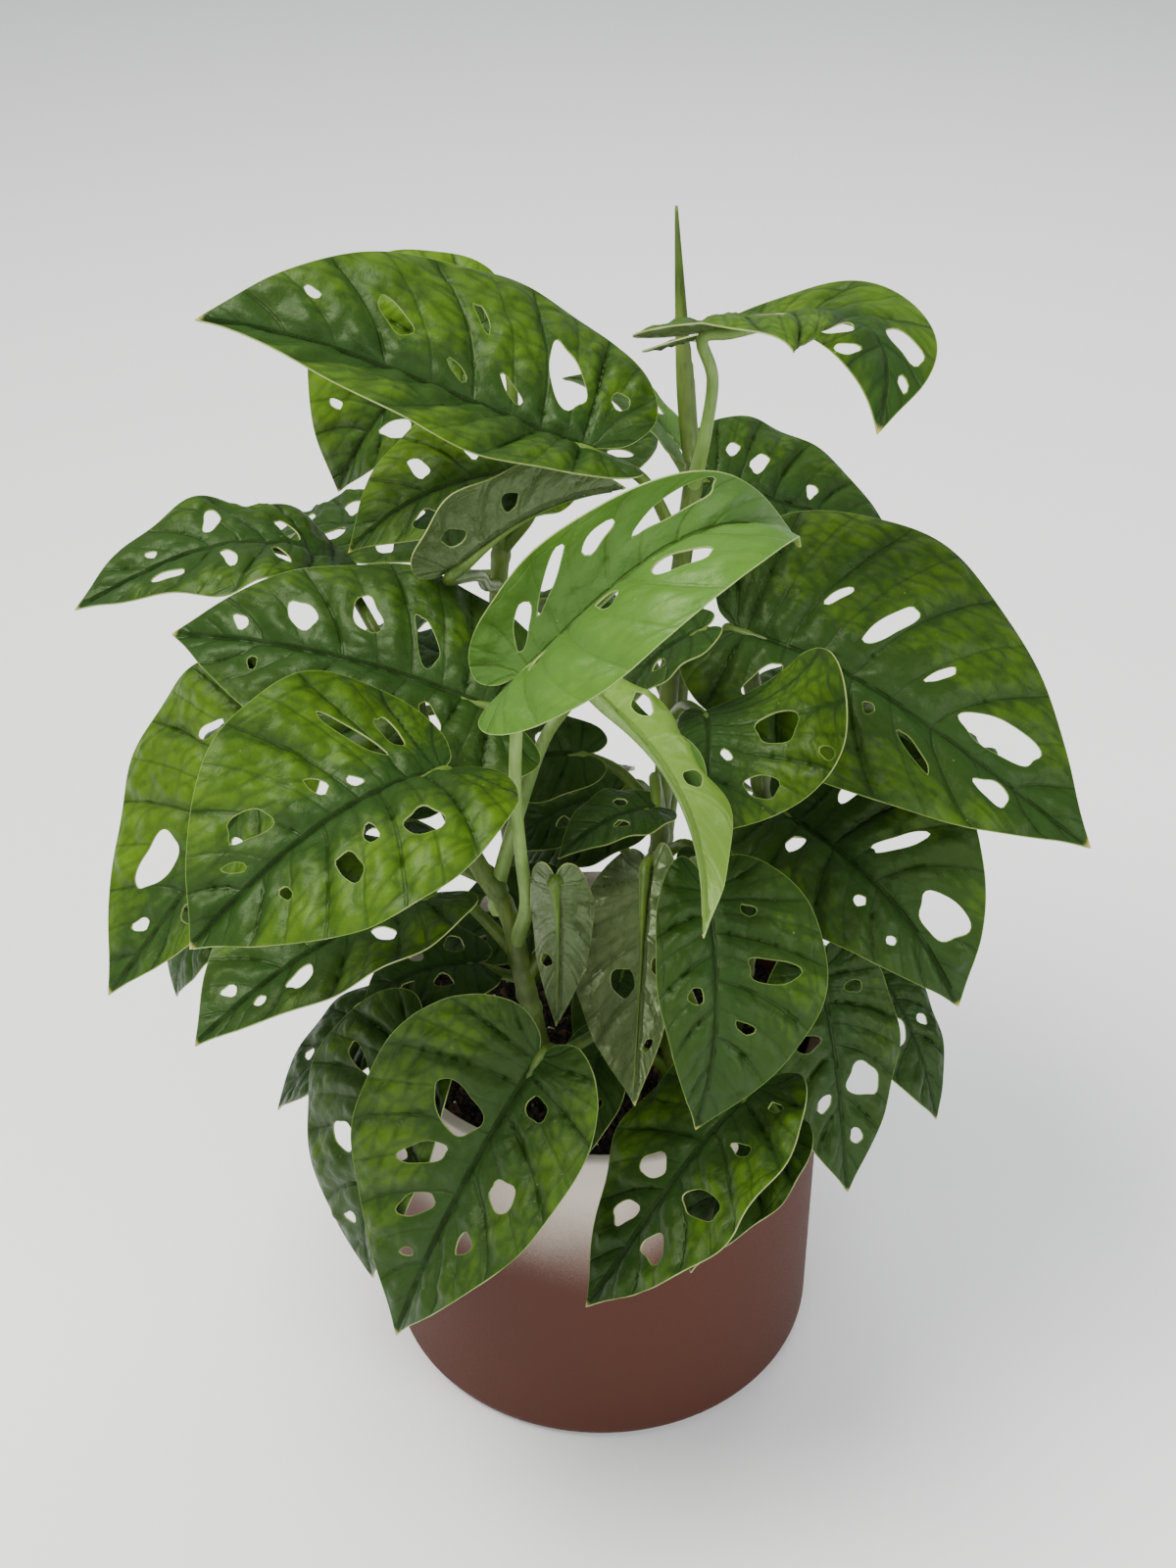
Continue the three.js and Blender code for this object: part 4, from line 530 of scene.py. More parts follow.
def on_leaf(leaf, index, side, x, y):
    """Points in space of plan points; side is 1 for the left half and -1 for the right."""
    base, ahead, up, length = leaf_frame(leaf)
    arch, skew = leaf["arch"], leaf["skew"]
    u = np.clip(x, 0, 1)
    lean = 1 + skew * (2 * u - 1)
    slope = arch * (4 * (1 - 2 * u) * lean + 8 * skew * u * (1 - u))
    rise = np.where(x < 0, slope * x, arch * 4 * u * (1 - u) * lean)
    forward = unit(ahead * length + up * slope[:, None])
    level = unit(up - forward * (forward @ up)[:, None])
    across = np.cross(level, forward)
    turn = (math.radians(leaf["twist"]) * (u - 0.5))[:, None]
    normal = level * np.cos(turn) + across * np.sin(turn)
    out = np.cross(normal, forward)
    left = side > 0
    fold = np.radians(np.where(left, *leaf["fold"]))
    curl = np.radians(np.where(left, *leaf["curl"]))
    curl = np.where(curl == 0, FLAT, curl)
    width = np.where(left, *leaf["wide"])
    reach = width / curl * (np.sin(fold + curl * y) - np.sin(fold))
    lift = width / curl * (np.cos(fold) - np.cos(fold + curl * y))
    phase = WAVES * x + 0.37 * index + 0.25 * (1 - side)  # each half begins at another place
    wave = leaf["wave"] * y * y * np.sin(2 * math.pi * phase)
    return (base + ahead * (length * x)[:, None] + up * rise[:, None]
            + out * (side * reach)[:, None] + normal * (lift + wave)[:, None])


first = LEAVES[0]
print(first["name"], "tip in mm:", on_leaf(first, 0, np.ones(1), np.ones(1), np.zeros(1)).round(1))


# %% The line of the midrib
PROBE = 0.02  # a small step in the plan, to measure a slope


def midrib(leaf, index, x, drop):
    """Points of the midrib, drop millimetres under the blade."""
    x = np.asarray(x, float)
    one, zero, near = np.ones_like(x), np.zeros_like(x), np.full_like(x, PROBE)
    before = on_leaf(leaf, index, one, x - PROBE / 2, zero)
    after = on_leaf(leaf, index, one, x + PROBE / 2, zero)
    left, right = on_leaf(leaf, index, one, x, near), on_leaf(leaf, index, -one, x, near)
    normal = unit(np.cross(after - before, left - right))
    return on_leaf(leaf, index, one, x, zero) - normal * np.asarray(drop)[..., None]


print("its middle, 1 mm under the blade:", midrib(first, 0, [0.5], [1.0]).round(1))


# %% Side veins in the plan
VEINS = 8  # side veins on each half
SWEEP = 0.6  # how much a side vein curves forward, from 0 for a straight one to 1
TRIALS = 241  # veins that are tried for each point
NEXT_TRIAL = 0.004  # about as far as from one of them to the next


def vein_point(leaf, t, r):
    """The plan point r of the way out along the side vein that ends at margin point t."""
    start = np.clip(spline(VEIN_START, t), 0, 1)
    x = spline(MARGIN_X, t)
    end = np.where(x < 0, x * leaf["lobe"], x)
    return start + (end - start) * ((1 - SWEEP) * r + SWEEP * r**2), spline(MARGIN_Y, t) * r


def vein_through(leaf, x, y):
    """Which side vein (t) runs through each plan point: the best trial, then a small step."""
    t = np.linspace(0.001, 0.999, TRIALS)
    reach = np.maximum(spline(MARGIN_Y, t), 1e-4)
    r = y[:, None] / reach
    miss = vein_point(leaf, t[None, :], np.minimum(r, 1.05))[0] - x[:, None]
    too_short = r > 1.03  # veins that end before they are as far out as the point
    cost = np.where(too_short, 9 + np.abs(r), np.abs(miss))
    best = np.clip(np.argmin(cost, axis=1), 1, len(t) - 2)
    rows = np.arange(len(x))
    slope = (miss[rows, best + 1] - miss[rows, best - 1]) / (t[2] - t[0])
    shift = np.where(np.abs(slope) > 1e-3, -miss[rows, best] / slope, 0)
    return t[best] + np.clip(shift, -NEXT_TRIAL, NEXT_TRIAL)


centre = vein_through(first, np.array([0.5]), np.array([0.5]))
print("the middle of a half lies at side vein", (centre * VEINS).round(2))


# %% [markdown]
# ## How pale each leaf is, with painted light and shade
#
# Old leaves are a deep green. Younger ones are lighter, and where light shines through the
# blade it turns yellow-green between the side veins; that glow is painted into the colour, and
# so is shade: leaves in the shade of others are painted darker. A material for each leaf would
# repeat itself fifty times, so a leaf carries one number, its tone with painted light and
# shade, and a shared finish reads it.

# %% Tones, with painted light and shade
# Each number is the leaf's own paleness with painted light and shade in it: higher where light shines through
# the blade, low for leaves in the shade of others.
TONE_WITH_PAINTED_LIGHT = {
    "left_front": 0.5, "left_back": 0.66, "crown_back": 0.85, "crown_curled": 0.9,
    "crown_left": 0.38, "far_left": 0.3, "right_shoulder": 0.33, "crown_edge": 0.0,
    "centre_grey": 0.7, "centre_small": 0.6, "right_cupped": 0.42, "left_low": 0.4,
    "rim_front_left": 0.34, "rim_front_right": 0.4, "left_shoulder": 0.2, "crown_right": 0.55,
    "inner_left": 0.0, "inner_middle": 0.05, "front_centre": 0.16,
}
COMMON_TONE_WITH_PAINTED_LIGHT = 0.25
YOUNG = ["centre_bright", "centre_curled", "crown_young"]
print("leaves with a tone of their own:", len(TONE_WITH_PAINTED_LIGHT), "young leaves:", len(YOUNG))

# %% [markdown]
# ## The blade as a fine mesh
#
# The holes have to be real openings, so the plan is cut into triangles that respect the
# margin and each hole. A grid would leave steps there. Points are laid along the margin and
# the holes, on a line just inside them for the pale edge, along the midrib, and over the
# rest in a honeycomb, and a constrained Delaunay triangulation joins them. Each point keeps
# what the finish needs: how far it is from the midrib and on which side vein it lies.


# %% Outline and holes
STEP = 1.4  # millimetres between points on an outline
FEWEST = 6  # points that even a small outline has
DRAFT_MARGIN = 301  # points of half a margin before they are spread evenly
DRAFT_HOLE = 72  # and of a hole


def even(line, closed):
    """A line's points again at equal steps."""
    line = np.vstack([line, line[:1]]) if closed else line
    run = np.r_[0, np.cumsum(np.linalg.norm(np.diff(line, axis=0), axis=1))]
    count = max(FEWEST, round(run[-1] / STEP))
    at = np.linspace(0, run[-1], count + 1)
    at = at[:-1] if closed else at
    return np.column_stack([np.interp(at, run, line[:, k]) for k in (0, 1)])


def margin_loop(leaf, length):
    """The leaf's outline in plan millimetres: out along the left half, back along the right."""
    halves = []
    for side, wide in ((1, leaf["wide"][0]), (-1, leaf["wide"][1])):
        x, y = vein_point(leaf, np.linspace(0, 1, DRAFT_MARGIN), 1.0)
        halves.append(even(np.column_stack([x * length, side * y * wide]), False))
    return np.vstack([halves[0], halves[1][-2:0:-1]])


def holes_of(leaf):
    return PATTERNS[leaf["holes"]] if isinstance(leaf["holes"], str) else leaf["holes"]


def hole_loop(leaf, length, hole):
    """A hole's outline: a slot between two points, blunter than an ellipse and uneven.

    The key is a number that differs from hole to hole, so no two are quite alike.
    """
    side, x0, y0, x1, y1, width = hole
    wide = leaf["wide"][0 if side > 0 else 1]
    one, other = np.array([x0 * length, y0 * wide]), np.array([x1 * length, y1 * wide])
    half = (other - one) / 2
    across = np.array([-half[1], half[0]]) / np.linalg.norm(half) * width / 2
    turn = np.linspace(0, 2 * math.pi, DRAFT_HOLE + 1)[:-1, None]
    key = 17 * x0 + 23 * y1 + 5 * width
    power = 2.5 + 0.6 * math.sin(key)  # 2 would give an ellipse, and more is squarer
    blunt = (np.abs(np.cos(turn)) ** power + np.abs(np.sin(turn)) ** power) ** (-1 / power)
    uneven = 1 + 0.07 * np.sin(3 * turn + key) + 0.045 * np.sin(5 * turn + 2 * key)
    ahead, beside = blunt * uneven * np.cos(turn), blunt * uneven * np.sin(turn)
    taper = 1 + (0.12 + 0.25 * math.sin(7 * key)) * np.cos(turn)  # one end is wider
    bow = 0.18 * math.sin(3 * key) * (ahead**2 - 0.5)  # and the slot bends a little
    loop = (one + other) / 2 + half * ahead + across * (beside * taper + bow)
    return even(loop * [1, side], True)


print(first["name"], "outline:", len(margin_loop(first, leaf_frame(first)[3])), "points")


# %% Points between the outlines
CELL = 1.6  # millimetres between points of the honeycomb, and along the midrib
ROW = 0.866  # from one row of the honeycomb to the next, in cells
HEM = 0.8  # millimetres that the pale edge reaches in
BESIDE = 1.3  # millimetres from the midrib to a line of points on each side of it


def within(points, loop):
    """Which points lie inside a closed loop."""
    a, b = loop, np.roll(loop, -1, axis=0)
    px, py = points[:, :1], points[:, 1:]
    spans = (a[:, 1] > py) != (b[:, 1] > py)
    with np.errstate(divide="ignore", invalid="ignore"):
        cross = a[:, 0] + (b[:, 0] - a[:, 0]) * (py - a[:, 1]) / (b[:, 1] - a[:, 1])
    return (spans & (px < cross)).sum(axis=1) % 2 == 1


def on_blade(points, loops):
    """Which points lie inside the outline and outside the holes."""
    inside = within(points, loops[0])
    for loop in loops[1:]:
        inside &= ~within(points, loop)
    return inside


def free_points(points, loops, others, distance):
    """The points on the blade that keep a distance from some others."""
    points = points[on_blade(points, loops)]
    gaps = np.linalg.norm(points[:, None] - others[None], axis=2).min(axis=1)
    return points[gaps >= distance]


def hem_lines(loops):
    """A line on either side of each outline."""
    lines = []
    for loop in loops:
        tangent = unit(np.roll(loop, -1, axis=0) - np.roll(loop, 1, axis=0))
        sideways = np.column_stack([-tangent[:, 1], tangent[:, 0]]) * HEM
        lines += [loop + sideways, loop - sideways]
    return np.vstack(lines)


def midrib_lines(length):
    """A line on the midrib and one on each side of it."""
    spine = np.arange(2.0, length - 2.0, CELL)
    return np.vstack([np.column_stack([spine, np.full_like(spine, off)])
                      for off in (0, BESIDE, -BESIDE)])


def honeycomb(outline):
    """Rows of points over the leaf, every second one moved by half a cell."""
    low, high = outline.min(axis=0), outline.max(axis=0)
    cols, rows = np.arange(low[0], high[0], CELL), np.arange(low[1], high[1], CELL * ROW)
    return np.array([(x + CELL / 2 * (k % 2), y) for k, y in enumerate(rows) for x in cols])


print("points on the midrib of", first["name"], "and beside it:",
      len(midrib_lines(leaf_frame(first)[3])))


# %% The flat plan, cut into triangles
def flat_plan(leaf):
    """Plan points in millimetres, triangles, and which points lie on an outline."""
    length = leaf_frame(leaf)[3]
    loops = [margin_loop(leaf, length)]
    loops += [hole_loop(leaf, length, hole) for hole in holes_of(leaf)]
    rim = np.vstack(loops)
    hem = free_points(hem_lines(loops), loops, rim, HEM * 0.8)
    spine = free_points(midrib_lines(length), loops, np.vstack([rim, hem]), CELL / 2)
    comb = free_points(honeycomb(loops[0]), loops, np.vstack([rim, hem, spine]), CELL * 0.63)
    edges, start = [], 0
    for loop in loops:
        edges += [(start + k, start + (k + 1) % len(loop)) for k in range(len(loop))]
        start += len(loop)
    points = [tuple(point) for point in np.vstack([rim, hem, spine, comb])]
    where, _, triangles, sources, _, _ = delaunay_2d_cdt(points, edges, [], 0, 1e-6, True)
    where, triangles = np.array(where), np.array(triangles)
    triangles = triangles[on_blade(where[triangles].mean(axis=1), loops)]
    on_rim = np.array([min(source, default=len(rim)) < len(rim) for source in sources])
    return where, triangles, on_rim


plan, faces, on_rim = flat_plan(first)
print(first["name"], "plan:", len(plan), "points,", len(faces), "triangles")


# %% What each point carries
LAYER = 200.0  # millimetres between two leaves in the noise that colours them
FEWEST_VEINS = 0.03  # in a millimetre, where they lie furthest apart


def vein_offset(leaf, side):
    """A shift of the side veins that keeps them clear of this half's holes."""
    middles = [((x0 + x1) / 2, (y0 + y1) / 2)
               for half, x0, y0, x1, y1, _ in holes_of(leaf) if half == side]
    if not middles:
        return 0.0
    at = vein_through(leaf, *np.array(middles, float).T) * VEINS
    shifts = np.arange(0, 1, 0.05)
    away = [np.abs((at + shift) % 1 - 0.5).max() for shift in shifts]
    return float(shifts[int(np.argmin(away))])


def vein_pitch(leaf, x, y, wide):
    """Millimetres from one side vein to the next, from how fast the vein's number changes."""
    length = leaf_frame(leaf)[3]
    before, after = vein_through(leaf, x - PROBE, y), vein_through(leaf, x + PROBE, y)
    slope_x = (after - before) / (2 * PROBE * length)
    low = np.maximum(y - PROBE, 0)
    inner, outer = vein_through(leaf, x, low), vein_through(leaf, x, y + PROBE)
    slope_y = (outer - inner) / ((y + PROBE - low) * wide)
    return 1 / np.maximum(np.hypot(slope_x, slope_y) * VEINS, FEWEST_VEINS)


def blade_mesh(leaf, index):
    """The bent blade, one face thick, with the numbers for its relief and finish."""
    plan, faces, on_rim = flat_plan(leaf)
    side = np.where(plan[:, 1] >= 0, 1, -1)
    wide = np.where(side > 0, *leaf["wide"])
    x, y = plan[:, 0] / leaf_frame(leaf)[3], np.abs(plan[:, 1]) / wide
    mesh = bpy.data.meshes.new("blade")
    turned = faces if np.cross(*np.diff(plan[faces[0]], axis=0)) > 0 else faces[:, ::-1]
    mesh.from_pydata(on_leaf(leaf, index, side, x, y) * MM, [], turned.tolist())
    shift = np.where(side > 0, vein_offset(leaf, 1), vein_offset(leaf, -1))
    apart = 7 * index + 40 * (side < 0)  # so that no two halves show the same net
    carried = {
        "vein": vein_through(leaf, x, y) * VEINS + shift + apart,
        "pitch": vein_pitch(leaf, x, y, wide),
        "off": np.abs(plan[:, 1]),
        "edge": on_rim * 1.0,
        # how pale the leaf is, with painted light and shade
        "tone_with_painted_light": np.full(len(plan), TONE_WITH_PAINTED_LIGHT.get(leaf["name"], COMMON_TONE_WITH_PAINTED_LIGHT)),
        "out": y,
        "way": x,
        "inset": np.linalg.norm(plan[:, None] - plan[on_rim][None], axis=2).min(axis=1)}
    for name, numbers in carried.items():
        mesh.attributes.new(name, "FLOAT", "POINT").data.foreach_set("value", numbers.astype("f"))
    flat = np.column_stack([plan, np.full(len(plan), LAYER * index)]) * MM
    mesh.attributes.new("plan", "FLOAT_VECTOR", "POINT").data.foreach_set("vector", flat.ravel())
    return mesh


print(first["name"], "side veins shift by", vein_offset(first, 1), "left and",
      vein_offset(first, -1), "right")

# %% [markdown]
# ## Relief and thickness of a blade
#
# A blade of this plant is quilted: it bulges between its side veins and is sunken along them
# and along the midrib, and a finer vein half way between two side veins parts each bulge in
# two. Underneath, the veins stand out as ribs. It could be sculpted, but the same rule holds
# for every leaf and follows its surface, so it is a Geometry Nodes tree: it lifts the fine
# mesh by the numbers that each point carries, gives it its thickness, and sets the three
# finishes of the upper face, the underside and the cut edge.


# %% The net of the smallest veins
ACROSS_NET = 3.0  # cells of the net from one side vein to the next
ALONG_NET = 0.18  # cells of the net in each millimetre away from the midrib


def ladder_cells(tree, vein, off):
    """Distance to the small veins, which part the blade like a ladder. 1 is one cell."""
    place = tree.add("ShaderNodeCombineXYZ", {0: tree.calc("MULTIPLY", vein, ACROSS_NET),
                                              1: tree.calc("MULTIPLY", off, ALONG_NET)})
    return tree.add("ShaderNodeTexVoronoi", {"Vector": place.outputs[0], "Scale": 1.0},
                    voronoi_dimensions="2D", feature="DISTANCE_TO_EDGE").outputs["Distance"]


def vein_share(tree, vein):
    """How far a point is from its nearest side vein: 0 on it, 0.5 half way to the next."""
    shifted = tree.calc("FRACT", tree.calc("ADD", vein, 0.5))
    return tree.calc("ABSOLUTE", tree.calc("SUBTRACT", shifted, 0.5))


print("a cell of the net is", round(1 / ALONG_NET, 1), "mm long")

# %% The quilted blade as a tree
blade_tree, tree, inp, out = new_tree(
    "quilted_blade", **{"Thickness": 0.5 * MM, "Quilt height": 1.2 * MM, "Pucker": 0.4 * MM,
                        "Vein depth": 0.45 * MM, "Groove depth": 0.8 * MM,
                        "Rib height": 0.5 * MM, "Seed": 0.0,
                        "Upper face": "", "Underside": "", "Cut edge": ""})
pitch, off = tree.number("pitch"), tree.number("off")
from_vein = vein_share(tree, tree.number("vein"))
vein_gap = tree.calc("MULTIPLY", from_vein, pitch)
half_gap = tree.calc("MULTIPLY", tree.calc("SUBTRACT", 0.5, from_vein), pitch)
room = tree.fade(pitch, 2.0, 12.0)  # no relief where the side veins run together
print("inputs of the blade tree:", len(inp) - 1)

# %% Bulges between the veins
LUMPS = 95.0  # lumps of the noise in a metre, which make one bulge higher than another
whole_dome = tree.calc("SINE", tree.calc("MULTIPLY", from_vein, math.pi))
half_dome = tree.calc("SINE", tree.calc("MULTIPLY", from_vein, 2 * math.pi))
dome = tree.calc("MULTIPLY_ADD", half_dome, 0.45, tree.calc("MULTIPLY", whole_dome, 0.75))
place = tree.add("GeometryNodeInputPosition").outputs[0]
lumps = tree.add("ShaderNodeTexNoise", {"Vector": place, "W": inp["Seed"], "Scale": LUMPS,
                                        "Detail": 2.0}, noise_dimensions="4D").outputs[0]
bulge = tree.calc("MULTIPLY", dome, tree.calc("SUBTRACT", tree.calc("MULTIPLY", lumps, 2.6), 0.4))
bulge = tree.calc("MULTIPLY", tree.calc("SUBTRACT", bulge, 0.5), room)
bulge = tree.calc("MULTIPLY", bulge, tree.fade(off, 0.5, 6.0))
bulge = tree.calc("MULTIPLY", bulge, inp["Quilt height"])
cells = ladder_cells(tree, tree.number("vein"), off)
pucker = tree.calc("MULTIPLY", tree.fade(cells, 0.0, 0.4), inp["Pucker"])
pucker = tree.calc("MULTIPLY", pucker, tree.fade(pitch, 4.0, 9.0))
bulge = tree.calc("ADD", bulge, pucker)
print("boxes for the bulges:", len(blade_tree.nodes))

# %% Sunken veins, and the upper face
EVEN_RIM = 4.5  # millimetres in from an outline over which the relief sets in
crease = tree.calc("ADD", tree.fade(vein_gap, 0.0, 1.8, 1.0, 0.0),
                   tree.calc("MULTIPLY", tree.fade(half_gap, 0.0, 1.5, 0.5, 0.0), room))
crease = tree.calc("MULTIPLY", crease, inp["Vein depth"])
groove = tree.calc("MULTIPLY", tree.fade(off, 0.0, 2.4, 1.0, 0.0), inp["Groove depth"])
height = tree.calc("SUBTRACT", tree.calc("SUBTRACT", bulge, crease), groove)
height = tree.calc("MULTIPLY", height, tree.fade(tree.number("inset"), 0.0, EVEN_RIM))
normal = tree.add("GeometryNodeInputNormal").outputs[0]
lift = tree.add("ShaderNodeVectorMath", {0: normal, "Scale": height}, operation="SCALE").outputs[0]
upper = tree.add("GeometryNodeSetPosition", {"Geometry": inp["Geometry"], "Offset": lift}).outputs[0]
print("and with the sunken veins:", len(blade_tree.nodes))

# %% Thickness, ribs below, and finishes
down = tree.calc("MULTIPLY", inp["Thickness"], -1.0)
thick = tree.add("GeometryNodeExtrudeMesh", {"Mesh": upper, "Offset Scale": down,
                                             "Individual": False}, mode="FACES")
rib = tree.calc("MULTIPLY", inp["Rib height"], tree.calc(
    "ADD", tree.fade(off, 0.0, 1.6, 1.0, 0.0),
    tree.calc("MULTIPLY", tree.fade(vein_gap, 0.0, 1.3, 0.6, 0.0), room)))
rib = tree.calc("MULTIPLY", rib, tree.calc("SUBTRACT", tree.number("edge"), 1.0))
below = tree.add("ShaderNodeVectorMath", {0: normal, "Scale": rib}, operation="SCALE").outputs[0]
shell = tree.add("GeometryNodeSetPosition", {"Geometry": thick.outputs["Mesh"], "Offset": below,
                                             "Selection": thick.outputs["Top"]}).outputs[0]
shell = tree.add("GeometryNodeFlipFaces", {"Mesh": shell}).outputs[0]
shell = tree.add("GeometryNodeSetMaterial", {"Geometry": shell, "Material": inp["Underside"]})
shell = tree.add("GeometryNodeSetMaterial", {
    "Geometry": shell.outputs[0], "Selection": thick.outputs["Side"],
    "Material": inp["Cut edge"]}).outputs[0]
print("with the underside:", len(blade_tree.nodes))

# %% One closed blade
SEAM = 0.004 * MM  # corners closer than this are one
CRISP = 1.0  # radians between two faces from which their edge stays sharp
upper = tree.add("GeometryNodeSetMaterial", {"Geometry": upper,
                                             "Material": inp["Upper face"]}).outputs[0]
both = tree.add("GeometryNodeJoinGeometry")
tree.feed(both.inputs[0], shell)
tree.feed(both.inputs[0], upper)
closed = tree.add("GeometryNodeMergeByDistance", {"Geometry": both.outputs[0],
                                                  "Distance": SEAM}).outputs[0]
smooth = tree.add("GeometryNodeSetShadeSmooth", {"Geometry": closed}).outputs[0]
angle = tree.add("GeometryNodeInputMeshEdgeAngle").outputs[0]
crisp = tree.add("GeometryNodeSetShadeSmooth", {
    "Geometry": smooth, "Selection": tree.calc("GREATER_THAN", angle, CRISP),
    "Shade Smooth": False}, domain="EDGE").outputs[0]
tree.feed(out, tree.add("GeometryNodeRealizeInstances", {"Geometry": crisp}).outputs[0])
print("blade tree:", len(blade_tree.nodes), "boxes")

# %% [markdown]
# ## Stalks and stems
#
# A stalk is a round rod along a smooth line. Its foot comes out of the stem's skin in a slim
# taper, it is thickest just above that and slimmer towards the blade, and it goes on as a rib
# that dwindles under the midrib to the tip. Cylinders set end to end would show a kink at each
# joint, while a curve needs only a path and a radius. So one tree sweeps a circle along each
# path, and on the climbing stems it adds the ring-like knots from which leaves and roots grow.

# %% The rod as a tree
DWINDLE = 0.85  # share of its thickness that a rib has lost at the leaf's tip
rod_tree, tree, inp, out = new_tree(
    "grown_rod", **{"Foot radius": 2.6 * MM, "End radius": 1.5 * MM, "Dwindle": DWINDLE,
                    "Foot taper": 0.12, "Step": 2.0 * MM, "Sides": 12, "Knot height": 0.0,
                    "Knot pitch": 26 * MM, "Finish": ""})
curve = tree.add("GeometryNodeMeshToCurve", {"Mesh": inp["Geometry"]}).outputs[0]
curve = tree.add("GeometryNodeResampleCurve", {"Curve": curve, "Length": inp["Step"]},
                 mode="LENGTH").outputs[0]
stage = tree.number("stage")
slim = tree.fade(stage, 0.0, 0.55, inp["Foot radius"], inp["End radius"])
slim = tree.calc("MULTIPLY", slim, tree.fade(stage, 0.0, inp["Foot taper"], 0.35, 1.0))
dwindle = tree.calc("SUBTRACT", 1.0, tree.calc("MULTIPLY", inp["Dwindle"], tree.calc(
    "SUBTRACT", stage, 1.0, clamp=True)))
dwindle = tree.calc("MULTIPLY", dwindle, tree.fade(stage, 0.95, 1.4, 1.0, 0.5))
run = tree.add("GeometryNodeSplineParameter").outputs["Length"]
beat = tree.calc("ABSOLUTE", tree.calc("SUBTRACT", tree.calc("FRACT", tree.calc(
    "DIVIDE", run, inp["Knot pitch"])), 0.5))
knot = tree.calc("MULTIPLY", tree.fade(beat, 0.0, 0.12, 1.0, 0.0), inp["Knot height"])
radius = tree.calc("MULTIPLY", tree.calc("MULTIPLY", slim, dwindle), tree.calc("ADD", knot, 1.0))
ring = tree.add("GeometryNodeCurvePrimitiveCircle", {"Resolution": inp["Sides"], "Radius": 1.0})
swept = tree.add("GeometryNodeCurveToMesh", {"Curve": curve, "Profile Curve": ring.outputs[0],
                                             "Scale": radius, "Fill Caps": True}).outputs[0]
swept = tree.add("GeometryNodeSetShadeSmooth", {"Geometry": swept}).outputs[0]
swept = tree.add("GeometryNodeRealizeInstances", {"Geometry": swept}).outputs[0]
tree.feed(out, tree.add("GeometryNodeSetMaterial", {"Geometry": swept,
                                                    "Material": inp["Finish"]}).outputs[0])
print("rod tree:", len(rod_tree.nodes), "boxes")


# %% Paths of stalks and stems
SHEATH = 14  # millimetres that a stalk's foot runs down along the stem
NECK = 3  # millimetres under the blade at which the stalk turns into the midrib
STALK_TO = 0.06  # share of the leaf's length at which the stalk reaches the midrib
RIB_FROM, RIB_TO = 0.1, 0.93  # and between which it goes on as a rib
RIB_SKIN = 0.45  # millimetres from the groove's bottom to the rib
STALK_POINTS = 32
RIB_POINTS = 22


def path_mesh(points, stage):
    """A chain of edges with the stage of growth (0 foot, 1 blade, 2 tip) on its points."""
    mesh = bpy.data.meshes.new("path")
    mesh.from_pydata(points * MM, [(k, k + 1) for k in range(len(points) - 1)], [])
    mesh.attributes.new("stage", "FLOAT", "POINT").data.foreach_set("value", stage.astype("f"))
    return mesh


def stalk_path(leaf, index, groove):
    """From the stem over the stalk's own points to the base, and on under the midrib."""
    stem, height = leaf["stem"]
    route = np.array(VINES[stem]["path"], float)
    tall = np.linalg.norm(np.diff(route, axis=0), axis=1).sum()
    foot, sheath = along(route, height), along(route, max(height - SHEATH / tall, 0))
    base = np.array(leaf["base"], float)
    end = midrib(leaf, index, [STALK_TO], [groove + PETIOLE[1] * 0.75])[0]
    up = base - midrib(leaf, index, [0.0], [1.0])[0]
    neck = base - up * NECK - (end - base) * 0.4
    free = along([sheath, foot, *leaf["via"], neck, end], np.linspace(0, 1, STALK_POINTS))
    x = np.linspace(RIB_FROM, RIB_TO, RIB_POINTS)
    girth = PETIOLE[1] * (1 - DWINDLE * x) * np.interp(x, [0, 0.4], [1, 0.5])
    rib = midrib(leaf, index, x, groove + RIB_SKIN + 0.85 * girth)
    stage = np.r_[np.linspace(0, 1, len(free)), 1 + x]
    return path_mesh(np.vstack([free, rib]), stage)


print("stalk of", first["name"], "has", len(stalk_path(first, 0, 0.8).vertices), "points")

# %% [markdown]
# ## Finishes of the leaves
#
# The upper face is a deep green, a little glossy. It pales to yellow-green in blotches
# between the side veins, above all towards the margin, and is bluish near the midrib. The
# paling is partly the leaf's own colour and partly painted light: the glow of light shining
# through the blade, and each leaf's painted light or shade, read from the number it carries.
# The veins themselves are fine darker lines, the midrib is one too, and the margin and the rims
# of the holes are pale threads. The underside is a duller grey-green with pale ribs. A painted
# picture would have to be laid out for each blade. These finishes read the numbers on the mesh
# instead, so a vein's line runs true on every leaf and is sharp however near one looks.


# %% Helpers for materials
def material(name):
    """An empty material with its tree and its shader."""
    made = bpy.data.materials.new(name)
    made.use_nodes = True
    return made, Tree(made.node_tree), made.node_tree.nodes["Principled BSDF"]


def relief(tree, shader, height, strength, distance):
    """Bump from a height in 0 to 1."""
    inputs = {"Height": height, "Strength": strength, "Distance": distance}
    tree.feed(shader.inputs["Normal"], tree.add("ShaderNodeBump", inputs).outputs[0])


print("helpers for materials:", material.__name__, relief.__name__)


# %% Leaf finish
PALE_FROM = 1.68  # the sum of the parts from which a blade begins to pale
COLLAR = 0.88  # share of the way out at which a thin vein runs round along the margin
DRY_TIP = (0.42, 0.4, 0.1, 1)


